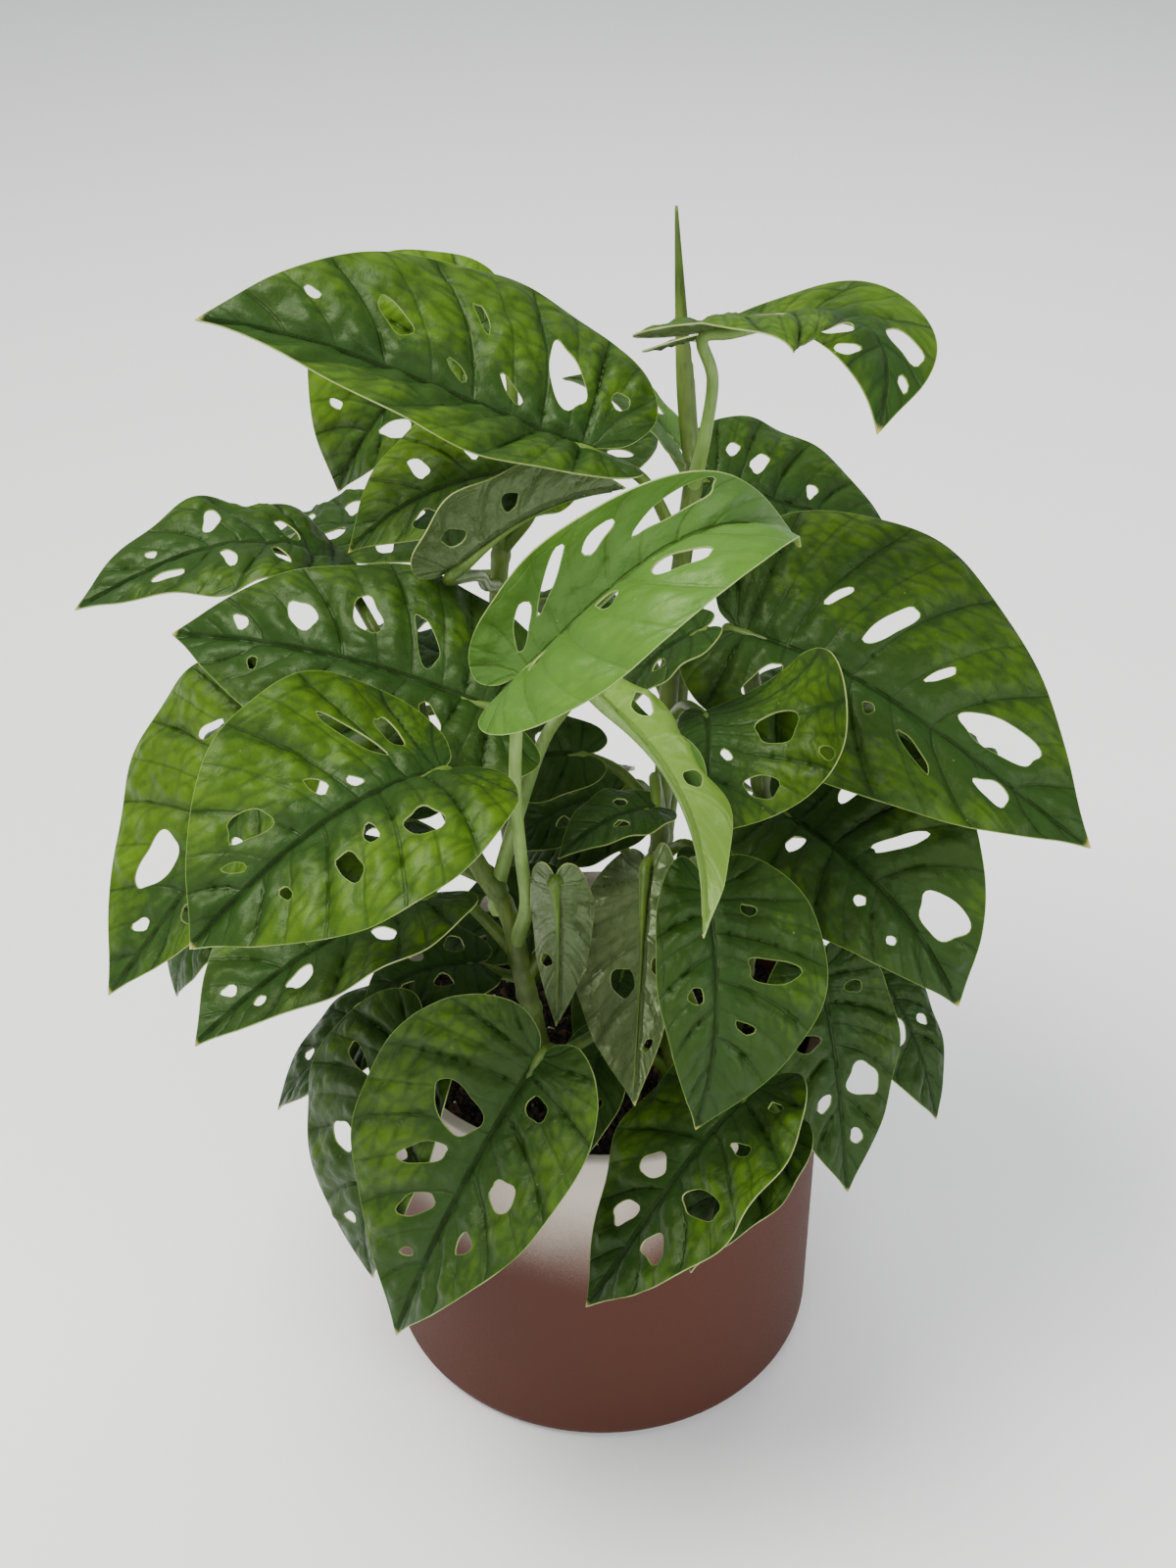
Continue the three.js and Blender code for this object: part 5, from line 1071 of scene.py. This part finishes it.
def leaf_finish(name, deep, light, shade, vein, hem, rough, gloss):
    """deep pales to light, shade is the tint near the midrib, hem is the margin's thread."""
    made, tree, shader = material(name)
    plan = tree.add("ShaderNodeAttribute", attribute_name="plan").outputs["Vector"]
    phase, pitch, off = tree.value("vein"), tree.value("pitch"), tree.value("off")
    from_vein = vein_share(tree, phase)
    gap = tree.calc("MULTIPLY", from_vein, pitch)
    half_gap = tree.calc("MULTIPLY", tree.calc("SUBTRACT", 0.5, from_vein), pitch)
    blotch = tree.noise(plan, 45.0, 2.0, 0.5, 0.3)
    patch = tree.noise(plan, 230.0, 3.0, 0.6)
    cells = ladder_cells(tree, phase, off)
    cushion = tree.fade(cells, 0.02, 0.3)
    # the leaf's number adds painted light and shade, and the glow of light shining through, to the paling
    parts = [(blotch, 1.0), (patch, 0.6), (cushion, 0.12), (tree.fade(gap, 0.3, 5.0), 0.22),
             (tree.fade(off, 3.0, 24.0), 0.45), (tree.value("tone_with_painted_light"), 1.1)]
    pale = -PALE_FROM
    for part, share in parts:
        pale = tree.calc("MULTIPLY_ADD", part, share, pale)
    colour = tree.mix(tree.calc("MAXIMUM", tree.calc("MINIMUM", pale, 1.0), 0.0), deep, light)
    bluish = tree.calc("MULTIPLY", tree.fade(off, 1.0, 16.0, 0.9, 0.0), blotch)
    colour = tree.mix(bluish, colour, shade)
    net = tree.calc("MULTIPLY", tree.fade(cells, 0.0, 0.24, 0.27, 0.0), tree.fade(pitch, 3.0, 8.0))
    net = tree.calc("MULTIPLY", net, tree.fade(blotch, 0.35, 0.65, 0.35, 1.0))
    colour = tree.mix(net, colour, vein)
    lines = tree.calc("MAXIMUM", tree.fade(gap, 0.1, 0.8, 0.65, 0.0),
                      tree.fade(off, 0.3, 0.9, 0.8, 0.0))
    from_collar = tree.calc("ABSOLUTE", tree.calc("SUBTRACT", tree.value("out"), COLLAR))
    lines = tree.calc("MAXIMUM", lines, tree.fade(from_collar, 0.004, 0.022, 0.35, 0.0))
    finer = tree.calc("MULTIPLY", tree.fade(half_gap, 0.1, 0.9, 0.4, 0.0), tree.fade(pitch, 4.0, 9.0))
    lines = tree.calc("MAXIMUM", lines, finer)
    colour = tree.mix(lines, colour, vein)
    motes = tree.add("ShaderNodeTexVoronoi", {"Vector": plan, "Scale": 160.0}).outputs["Distance"]
    specks = tree.calc("MULTIPLY", tree.fade(motes, 0.04, 0.07, 0.5, 0.0), tree.fade(
        tree.noise(plan, 60.0), 0.52, 0.6))
    colour = tree.mix(specks, colour, hem)
    colour = tree.mix(tree.fade(tree.value("edge"), 0.6, 1.0, 0.0, 0.9), colour, hem)
    colour = tree.mix(tree.fade(tree.value("way"), 0.975, 1.0), colour, DRY_TIP)
    tree.feed(shader.inputs["Base Color"], colour)
    tree.feed(shader.inputs["Roughness"], tree.fade(patch, 0.2, 0.8, rough - 0.08, rough + 0.1))
    fine = tree.noise(plan, 700.0, 3.0, 0.6)
    height = tree.calc("MULTIPLY_ADD", patch, 0.9, tree.calc("MULTIPLY_ADD", fine, 0.3, 0.4))
    height = tree.calc("SUBTRACT", height, tree.calc("MULTIPLY", tree.calc("ADD", net, lines), 0.7))
    relief(tree, shader, height, 0.7, 0.6 * MM)
    shader.inputs["Specular IOR Level"].default_value = gloss
    shader.inputs["Specular Tint"].default_value = (0.8, 1.0, 0.6, 1)
    return made


leaf_upper = leaf_finish(
    "leaf_upper", deep=(0.016, 0.04, 0.004, 1), light=(0.075, 0.15, 0.004, 1),
    shade=(0.013, 0.038, 0.008, 1), vein=(0.008, 0.022, 0.003, 1), hem=(0.12, 0.19, 0.035, 1),
    rough=0.44, gloss=0.2)
leaf_under = leaf_finish(
    "leaf_under", deep=(0.055, 0.085, 0.026, 1), light=(0.17, 0.22, 0.09, 1),
    shade=(0.08, 0.11, 0.045, 1), vein=(0.045, 0.07, 0.02, 1), hem=(0.13, 0.19, 0.05, 1),
    rough=0.3, gloss=0.5)
young_upper = leaf_finish(
    "young_upper", deep=(0.055, 0.13, 0.016, 1), light=(0.1, 0.21, 0.018, 1),
    shade=(0.07, 0.15, 0.034, 1), vein=(0.055, 0.12, 0.016, 1), hem=(0.22, 0.34, 0.09, 1),
    rough=0.42, gloss=0.28)
young_under = leaf_finish(
    "young_under", deep=(0.12, 0.22, 0.025, 1), light=(0.2, 0.33, 0.045, 1),
    shade=(0.15, 0.26, 0.045, 1), vein=(0.17, 0.28, 0.05, 1), hem=(0.3, 0.42, 0.12, 1),
    rough=0.36, gloss=0.4)
print("leaf finishes:", leaf_upper.name, leaf_under.name, young_upper.name, young_under.name)

# %% The cut edge of a blade
leaf_edge, tree, shader = material("leaf_edge")
worn = tree.noise(tree.here(), 300.0, 2.0)
tree.feed(shader.inputs["Base Color"], tree.mix(worn, (0.15, 0.21, 0.05, 1), (0.32, 0.36, 0.12, 1)))
shader.inputs["Roughness"].default_value = 0.5
print("edge finish:", leaf_edge.name)

# %% [markdown]
# ## Finishes of stalks and stems
#
# Stalks and stems are smooth and green, with paler blotches and fine fibres, and lighter on
# young leaves. One flat green would look like plastic, and a picture would have to be wrapped
# round each rod. Noise needs no wrapping: stretched along the height it gives the fibres.


# %% Stalk and stem finish
def stalk_finish(name, green, pale, streak, rough):
    """Green with paler blotches, and darker fibres along the height."""
    made, tree, shader = material(name)
    place = tree.here()
    long = tree.add("ShaderNodeMapping", {"Vector": place, "Scale": (1.0, 1.0, 0.12)}).outputs[0]
    fibres = tree.noise(long, 900.0, 3.0, 0.6)
    blotch = tree.noise(place, 60.0, 2.0)
    colour = tree.mix(tree.fade(blotch, 0.3, 0.7), green, pale)
    colour = tree.mix(tree.calc("MULTIPLY", tree.fade(fibres, 0.45, 0.75), 0.5), colour, streak)
    specks = tree.fade(tree.noise(place, 1400.0, 1.0), 0.68, 0.76, 0.0, 0.5)
    colour = tree.mix(specks, colour, pale)
    tree.feed(shader.inputs["Base Color"], colour)
    tree.feed(shader.inputs["Roughness"], tree.fade(fibres, 0.2, 0.8, rough - 0.06, rough + 0.1))
    shader.inputs["Specular IOR Level"].default_value = 0.3
    relief(tree, shader, fibres, 0.35, 0.2 * MM)
    return made


stalk_green = stalk_finish(
    "stalk_green", green=(0.045, 0.085, 0.007, 1), pale=(0.085, 0.145, 0.016, 1),
    streak=(0.03, 0.055, 0.006, 1), rough=0.42)
young_stalk = stalk_finish(
    "young_stalk", green=(0.11, 0.19, 0.035, 1), pale=(0.18, 0.28, 0.07, 1),
    streak=(0.08, 0.14, 0.025, 1), rough=0.4)
stem_green = stalk_finish(
    "stem_green", green=(0.05, 0.085, 0.01, 1), pale=(0.095, 0.15, 0.022, 1),
    streak=(0.03, 0.045, 0.008, 1), rough=0.45)
spear_green = stalk_finish(
    "spear_green", green=(0.055, 0.095, 0.012, 1), pale=(0.11, 0.165, 0.028, 1),
    streak=(0.035, 0.06, 0.01, 1), rough=0.42)
print("stalk finishes:", stalk_green.name, young_stalk.name, stem_green.name, spear_green.name)

# %% [markdown]
# ## Every leaf
#
# Blade and stalk are one piece on the plant, so they become one mesh with the finishes of
# both. Each leaf stands for its own plain solid. Growing one leaf and copying it would be
# quicker, but no two leaves here have the same size, holes or bend.


# %% Two meshes as one
def welded(name, meshes):
    """Several meshes as one, each with its own finishes."""
    whole = bmesh.new()
    finishes = []
    for mesh in meshes:
        start = len(whole.faces)
        whole.from_mesh(mesh)
        whole.faces.ensure_lookup_table()
        for face in whole.faces[start:]:
            finish = mesh.materials[face.material_index]
            if finish not in finishes:
                finishes.append(finish)
            face.material_index = finishes.index(finish)
    made = bpy.data.meshes.new(name)
    whole.to_mesh(made)
    whole.free()
    for finish in finishes:
        made.materials.append(finish)
    return made


print("blades and stalks are joined by", welded.__name__)

# %% Grow every leaf
QUILT = 2.6  # millimetres, height of the bulges
PUCKER = 0.35  # millimetres, height of the small net
GROOVE = 0.8  # millimetres, depth of the midrib's groove
RIB = 0.35  # millimetres, height of the ribs below
FULL_LENGTH = 80  # millimetres from which a blade is fully quilted
YOUNG_QUILT = 0.6  # a young blade's relief, as a share of an old one's
CLASP = 1.15  # how much thicker a stalk gets where it clasps the stem
PALE_STALKS = [*YOUNG, "crown_right"]

face_count = 0
for index, leaf in enumerate(LEAVES):
    young = leaf["name"] in YOUNG
    soft = YOUNG_QUILT if young else 1.0
    size = min(1.0, leaf_frame(leaf)[3] / FULL_LENGTH)
    groove = GROOVE * soft * size
    blade = grown("blade", blade_mesh(leaf, index), blade_tree, **{
        "Seed": float(index), "Quilt height": QUILT * MM * soft * size,
        "Pucker": PUCKER * MM * soft, "Groove depth": groove * MM, "Rib height": RIB * MM,
        "Upper face": young_upper if young else leaf_upper,
        "Underside": young_under if young else leaf_under,
        "Cut edge": leaf_edge})
    stalk = grown("stalk", stalk_path(leaf, index, groove), rod_tree, **{
        "Foot radius": PETIOLE[0] * CLASP * MM, "End radius": PETIOLE[1] * MM,
        "Finish": young_stalk if leaf["name"] in PALE_STALKS else stalk_green})
    whole = welded("leaf_" + leaf["name"], [blade, stalk])
    placed("grown_" + leaf["name"], whole, "young_leaf" if young else "leaf",
           "leaf_" + leaf["name"])
    face_count += len(whole.polygons)
print("leaves:", len(LEAVES), "faces:", face_count)

# %% [markdown]
# ## Stems and the rolled new leaf
#
# The stems are the green vines that the leaves grow on, seen only between the leaves. They
# are rods with knots, so they come from the same tree as the stalks, with other sizes. A new
# leaf stands up at the top, still rolled tightly round itself. A plain cone would have the
# right outline, but the free edge of the blade is what shows that it is rolled, so the rings
# of this one have a step, and the step winds up round them.

# %% Grow the stems
STEM_POINTS = 50
TOP_SHARE = 0.82  # a stem's radius at its top, as a share of that at its foot
for name, vine in VINES.items():
    steps = np.linspace(0, 1, STEM_POINTS)
    stem = grown("stem_" + name, path_mesh(along(vine["path"], steps), steps), rod_tree, **{
        "Foot radius": vine["radius"] * MM, "End radius": vine["radius"] * TOP_SHARE * MM,
        "Foot taper": 0.001, "Sides": 20, "Step": 1.5 * MM, "Knot height": 0.16,
        "Finish": stem_green})
    placed("vine_" + name, stem, "stem", "stem_" + name)
print("stems:", len(VINES))


# %% Roll the new leaf
SPEAR_FOOT = 0.985  # share of the tall stem's height at which the new leaf comes out of it
SPEAR_RINGS = 60
SPEAR_SIDES = 24
SWELL = 1.08  # the roll is this much wider than its plain solid
ROLL, FREE_EDGE = 0.86, 0.2  # radius of the even part, and how far the edge stands out from it
WINDING = 0.9  # turns of the free edge from foot to tip


def ring_radius(turn, k):
    """A ring's radius as a share: even, and rising to a step at the free edge."""
    lap = ((turn / (2 * math.pi) + WINDING * k / SPEAR_RINGS) % 1) ** 6
    return ROLL + FREE_EDGE * lap


def spear_rings(whole):
    """Rings of corners up the new leaf."""
    steps = np.linspace(0, 1, SPEAR_RINGS)
    path = along([along(VINES["tall"]["path"], SPEAR_FOOT), *SPEAR["path"]], steps)
    radius = spline([SPEAR["radius"][0], *SPEAR["radius"]], steps) * SWELL
    rings = []
    for k, (middle, wide) in enumerate(zip(path, radius)):
        ahead = unit(path[min(k + 1, SPEAR_RINGS - 1)] - path[max(k - 1, 0)])
        across = unit(np.cross(ahead, [0.2, 1.0, 0.1]))
        third = np.cross(ahead, across)
        ring = []
        for s in range(SPEAR_SIDES):
            turn = 2 * math.pi * s / SPEAR_SIDES
            corner = across * math.cos(turn) + third * math.sin(turn)
            ring.append(whole.verts.new((middle + wide * ring_radius(turn, k) * corner) * MM))
        rings.append(ring)
    return rings


def rolled_leaf():
    """A blade rolled up on itself: a tapering rod with a step winding round it."""
    whole = bmesh.new()
    rings = spear_rings(whole)
    for low, high in zip(rings, rings[1:]):
        for s in range(SPEAR_SIDES):
            after = (s + 1) % SPEAR_SIDES
            whole.faces.new([low[s], low[after], high[after], high[s]])
    whole.faces.new(rings[0][::-1])
    whole.faces.new(rings[-1])
    bmesh.ops.recalc_face_normals(whole, faces=whole.faces)
    mesh = bpy.data.meshes.new("spear")
    whole.to_mesh(mesh)
    whole.free()
    mesh.shade_smooth()
    mesh.materials.append(spear_green)
    return mesh


placed("rolled_new_leaf", rolled_leaf(), "young_leaf", "spear_leaf")
print("new leaf reaches", max(p[2] for p in SPEAR["path"]), "mm")

# %% [markdown]
# ## The pot
#
# The pot is a plain cylinder of fired clay with a rounded foot edge and rim. A cylinder with
# bevelled edges would do for the outside, but the profile of wall, rim and floor is one line,
# so the pot is turned from it as on a wheel. Its finish is matt terracotta, and over the upper
# part the colour turns to a pale cream, which fades out about half way down, and a little
# higher towards the right. So the colour follows the height, broken up by a fine speckle.


# %% Pot finish
PALE_CREAM_FROM = 0.082  # metres above the foot where the pale cream begins
PALE_CREAM_FULL = 0.14  # and where it covers the clay
RISE_FROM = 0.008  # metres right of the middle from which its edge rises
RISE = 0.75  # and how steeply
MIST, DRIFT = 0.016, 0.02  # metres by which speckle and clouds break up its edge
PALE_CREAM = (0.5, 0.44, 0.37, 1)
CLAY = (0.052, 0.015, 0.008, 1)
WORN_CLAY = (0.064, 0.019, 0.01, 1)


def pot_finish():
    made, tree, shader = material("clay_with_pale_top")
    place = tree.here()
    across, _, height = tree.add("ShaderNodeSeparateXYZ", {0: place}).outputs
    beyond = tree.calc("MAXIMUM", tree.calc("SUBTRACT", across, RISE_FROM), 0.0)
    height = tree.calc("SUBTRACT", height, tree.calc("MULTIPLY", beyond, RISE))
    speckle = tree.noise(place, 1500.0, 2.0, 0.7)
    cloud = tree.noise(place, 22.0, 2.0)
    mist = tree.calc("MULTIPLY", tree.calc("SUBTRACT", speckle, 0.5), MIST)
    drift = tree.calc("MULTIPLY", tree.calc("SUBTRACT", cloud, 0.5), DRIFT)
    edge = tree.calc("ADD", height, tree.calc("ADD", mist, drift))
    clay = tree.mix(tree.fade(speckle, 0.35, 0.7), CLAY, WORN_CLAY)
    # above this height the clay colour turns to a pale cream
    pale_topped = tree.mix(tree.fade(edge, PALE_CREAM_FROM, PALE_CREAM_FULL), clay, PALE_CREAM)
    tree.feed(shader.inputs["Base Color"], pale_topped)
    tree.feed(shader.inputs["Roughness"], tree.fade(speckle, 0.3, 0.7, 0.55, 0.75))
    shader.inputs["Specular IOR Level"].default_value = 0.2
    relief(tree, shader, speckle, 0.25, 0.15 * MM)
    return made


pot_clay = pot_finish()
print("pot finish:", pot_clay.name)


# %% Turn the pot
LIP = 2  # millimetres, radius of the rim's two edges
CORNER = 5  # millimetres, the slant between wall and floor inside
POT_SIDES = 128


def pot_profile():
    """Radius and height from the foot's middle round the rim to the middle of the floor."""
    inner = POT_RADIUS - POT_WALL
    turn = np.linspace(0, math.pi / 2, 9)
    foot = np.column_stack([POT_RADIUS - FOOT_FILLET + FOOT_FILLET * np.sin(turn),
                            FOOT_FILLET * (1 - np.cos(turn))])
    wall = [[POT_RADIUS, z] for z in range(15, 145, 10)]
    lip = np.linspace(0, math.pi / 2, 6)
    outer = np.column_stack([POT_RADIUS - LIP + LIP * np.cos(lip),
                             POT_HEIGHT - LIP + LIP * np.sin(lip)])
    back = np.column_stack([inner + LIP - LIP * np.sin(lip), POT_HEIGHT - LIP + LIP * np.cos(lip)])
    inside = [[inner, POT_FLOOR + CORNER], [inner - CORNER, POT_FLOOR], [0, POT_FLOOR]]
    return np.vstack([[[0, 0]], foot, wall, outer, back, inside])


def turned_pot():
    whole = bmesh.new()
    line = [whole.verts.new((r * MM, 0, z * MM)) for r, z in pot_profile()]
    edges = [whole.edges.new(pair) for pair in zip(line, line[1:])]
    bmesh.ops.spin(whole, geom=line + edges, cent=(0, 0, 0), axis=(0, 0, 1),
                   angle=2 * math.pi, steps=POT_SIDES, use_duplicate=False)
    bmesh.ops.remove_doubles(whole, verts=whole.verts, dist=0.01 * MM)
    bmesh.ops.recalc_face_normals(whole, faces=whole.faces)
    mesh = bpy.data.meshes.new("pot")
    whole.to_mesh(mesh)
    whole.free()
    mesh.shade_smooth()
    mesh.materials.append(pot_clay)
    return mesh


pot = placed("turned_pot", turned_pot(), "pot", "pot")
print("pot faces:", len(pot.data.polygons))

# %% [markdown]
# ## The soil
#
# Potting soil for such a plant is a coarse mix: dark peat crumbs, brown bark chips and white
# perlite. A rough surface alone would look like cloth from near. So the plain solid of the
# soil keeps its place in the pot and gets a dark finish, and on top of it Geometry Nodes
# scatter crumbs, each a lump of few faces, turned and sized at random from a fixed seed.


# %% Soil finishes
def crumb_finish(name, dark, light, rough):
    made, tree, shader = material(name)
    grain = tree.noise(tree.here(), 500.0, 4.0, 0.7)
    tree.feed(shader.inputs["Base Color"], tree.mix(tree.fade(grain, 0.35, 0.7), dark, light))
    shader.inputs["Roughness"].default_value = rough
    relief(tree, shader, grain, 0.8, 0.6 * MM)
    return made


peat = crumb_finish("peat", dark=(0.007, 0.005, 0.004, 1), light=(0.035, 0.024, 0.015, 1),
                    rough=0.95)
bark = crumb_finish("bark", dark=(0.04, 0.018, 0.009, 1), light=(0.12, 0.06, 0.03, 1), rough=0.85)
perlite = crumb_finish("perlite", dark=(0.45, 0.43, 0.4, 1), light=(0.75, 0.73, 0.7, 1),
                       rough=0.9)
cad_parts["soil"].data.materials.clear()
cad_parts["soil"].data.materials.append(peat)
print("soil finishes:", peat.name, bark.name, perlite.name)

# %% The scattered crumbs as a tree
FULL_TURN = (6.3, 6.3, 6.3)  # a little over a full turn about each axis, in radians
scatter_tree, tree, inp, out = new_tree(
    "scattered_crumbs", **{"Spacing": 2.0 * MM, "Density": 120000.0, "Smallest": 0.7 * MM,
                           "Largest": 2.2 * MM, "Flatness": 0.7, "Seed": 1, "Finish": ""})
spots = tree.add("GeometryNodeDistributePointsOnFaces", {
    "Mesh": inp["Geometry"], "Distance Min": inp["Spacing"], "Density Max": inp["Density"],
    "Seed": inp["Seed"]}, distribute_method="POISSON")
ball = tree.add("GeometryNodeMeshIcoSphere", {"Radius": 1.0, "Subdivisions": 2}).outputs[0]
bumps = tree.add("ShaderNodeTexNoise", {"Scale": 1.1, "Detail": 1.0}).outputs["Color"]
bumps = tree.add("ShaderNodeVectorMath", {0: bumps, 1: (0.5, 0.5, 0.5)},
                 operation="SUBTRACT").outputs[0]
lump = tree.add("GeometryNodeSetPosition", {"Geometry": ball, "Offset": bumps}).outputs[0]
turn = tree.add("FunctionNodeRandomValue", {0: (0, 0, 0), 1: FULL_TURN,
                                            "Seed": inp["Seed"]}, data_type="FLOAT_VECTOR")
size = tree.add("FunctionNodeRandomValue", {2: inp["Smallest"], 3: inp["Largest"],
                                            "Seed": inp["Seed"]}, data_type="FLOAT").outputs[1]
flat = tree.calc("MULTIPLY", size, inp["Flatness"])
scale = tree.add("ShaderNodeCombineXYZ", {0: size, 1: tree.calc("MULTIPLY", size, 1.3), 2: flat})
crumbs = tree.add("GeometryNodeInstanceOnPoints", {
    "Points": spots.outputs["Points"], "Instance": lump, "Rotation": turn.outputs[0],
    "Scale": scale.outputs[0]}).outputs[0]
crumbs = tree.add("GeometryNodeRealizeInstances", {"Geometry": crumbs}).outputs[0]
tree.feed(out, tree.add("GeometryNodeSetMaterial", {"Geometry": crumbs,
                                                    "Material": inp["Finish"]}).outputs[0])
print("crumb tree:", len(scatter_tree.nodes), "boxes")


# %% Scatter the crumbs
SOIL_SIDES = 48
CRUMBS = {
    "peat_crumbs": {"Spacing": 2.1 * MM, "Smallest": 1.0 * MM, "Largest": 2.3 * MM,
                    "Flatness": 0.8, "Seed": 3, "Finish": peat},
    "bark_chips": {"Spacing": 6.0 * MM, "Smallest": 1.2 * MM, "Largest": 3.4 * MM,
                   "Flatness": 0.35, "Seed": 7, "Finish": bark},
    "perlite_grains": {"Spacing": 9.0 * MM, "Smallest": 0.7 * MM, "Largest": 1.7 * MM,
                       "Flatness": 0.9, "Seed": 11, "Finish": perlite}}


def soil_top():
    """The soil's surface as a cone of rings, a little smaller than the pot."""
    rings = [(0.5, SOIL_TOP), (20, SOIL_TOP - 1), (40, SOIL_TOP - 2), (60, SOIL_TOP - 3), (77, SOIL_RIM)]
    turn = np.linspace(0, 2 * math.pi, SOIL_SIDES + 1)[:-1]
    points = [(r * math.cos(a) * MM, r * math.sin(a) * MM, z * MM) for r, z in rings for a in turn]
    faces = []
    for low in range(0, (len(rings) - 1) * SOIL_SIDES, SOIL_SIDES):
        high = low + SOIL_SIDES
        for k in range(SOIL_SIDES):
            after = (k + 1) % SOIL_SIDES
            faces.append((low + k, high + k, high + after, low + after))
    mesh = bpy.data.meshes.new("soil_top")
    mesh.from_pydata(points, [], faces)
    return mesh


for name, sizes in CRUMBS.items():
    crumbs = grown(name, soil_top(), scatter_tree, **{"Density": 1e6}, **sizes)
    placed(name, crumbs, "soil")
    print(name, len(crumbs.polygons), "faces")

# %% [markdown]
# ## Floor and light
#
# The plant stands on a plain pale floor in soft daylight that comes mostly from the upper
# left. One small lamp could cast the same shadows, but with hard edges, and the glossy leaves
# would show it as a hot spot. So the light comes from four large discs: a strong one at the
# upper left, a weaker one from the front right, a soft one low in front, and one behind that
# lights the edges of the leaves and leaves no gleam. A pale surrounding fills the shadows.

# %% Floor
FLOOR_HALF = 6  # metres
floor_mesh = bpy.data.meshes.new("floor")
corners = [(FLOOR_HALF * x, FLOOR_HALF * y, 0) for x, y in ((-1, -1), (1, -1), (1, 1), (-1, 1))]
floor_mesh.from_pydata(corners, [], [(0, 1, 2, 3)])
floor = bpy.data.objects.new("floor", floor_mesh)
scene.collection.objects.link(floor)
floor_finish, tree, shader = material("pale_floor")
grain = tree.noise(tree.here(), 900.0, 3.0)
tree.feed(shader.inputs["Base Color"], tree.mix(grain, (0.84, 0.84, 0.83, 1), (0.88, 0.88, 0.87, 1)))
shader.inputs["Roughness"].default_value = 0.8
floor_mesh.materials.append(floor_finish)
print("floor:", floor.name)


# %% Lights
MIDDLE = np.array([0, 0, 0.25])  # what the lights point at, in the middle of the plant
SKY = (0.93, 0.96, 1, 1)
SKY_STRENGTH = 0.55


def lamp(name, place, size, power, colour):
    """A round area light, its size in metres and its power in watts."""
    light = bpy.data.lights.new(name, "AREA")
    light.shape = "DISK"
    light.size, light.energy, light.color = size, power, colour
    holder = bpy.data.objects.new(name, light)
    holder.location = place
    way = MIDDLE - np.array(place)
    holder.rotation_euler = (math.atan2(math.hypot(way[0], way[1]), -way[2]), 0,
                             math.atan2(-way[0], way[1]))
    scene.collection.objects.link(holder)
    return holder


lamp("upper_left", (-0.7, -0.3, 1.7), 1.1, 52, (1, 0.98, 0.95))
lamp("right", (1.2, -1.0, 0.8), 1.2, 18, (0.95, 0.98, 1))
lamp("front", (-0.5, -1.7, 0.7), 1.2, 12, (1, 1, 1))
lamp("back", (0.4, 1.2, 1.6), 1.0, 22, (1, 1, 1)).visible_glossy = False
world = bpy.data.worlds.new("surrounding")
world.use_nodes = True
surrounding = world.node_tree.nodes["Background"]
surrounding.inputs["Color"].default_value = SKY
surrounding.inputs["Strength"].default_value = SKY_STRENGTH
scene.world = world

# %% [markdown]
# ## Last look
#
# The finished pieces must fill the same box as the plain solids.
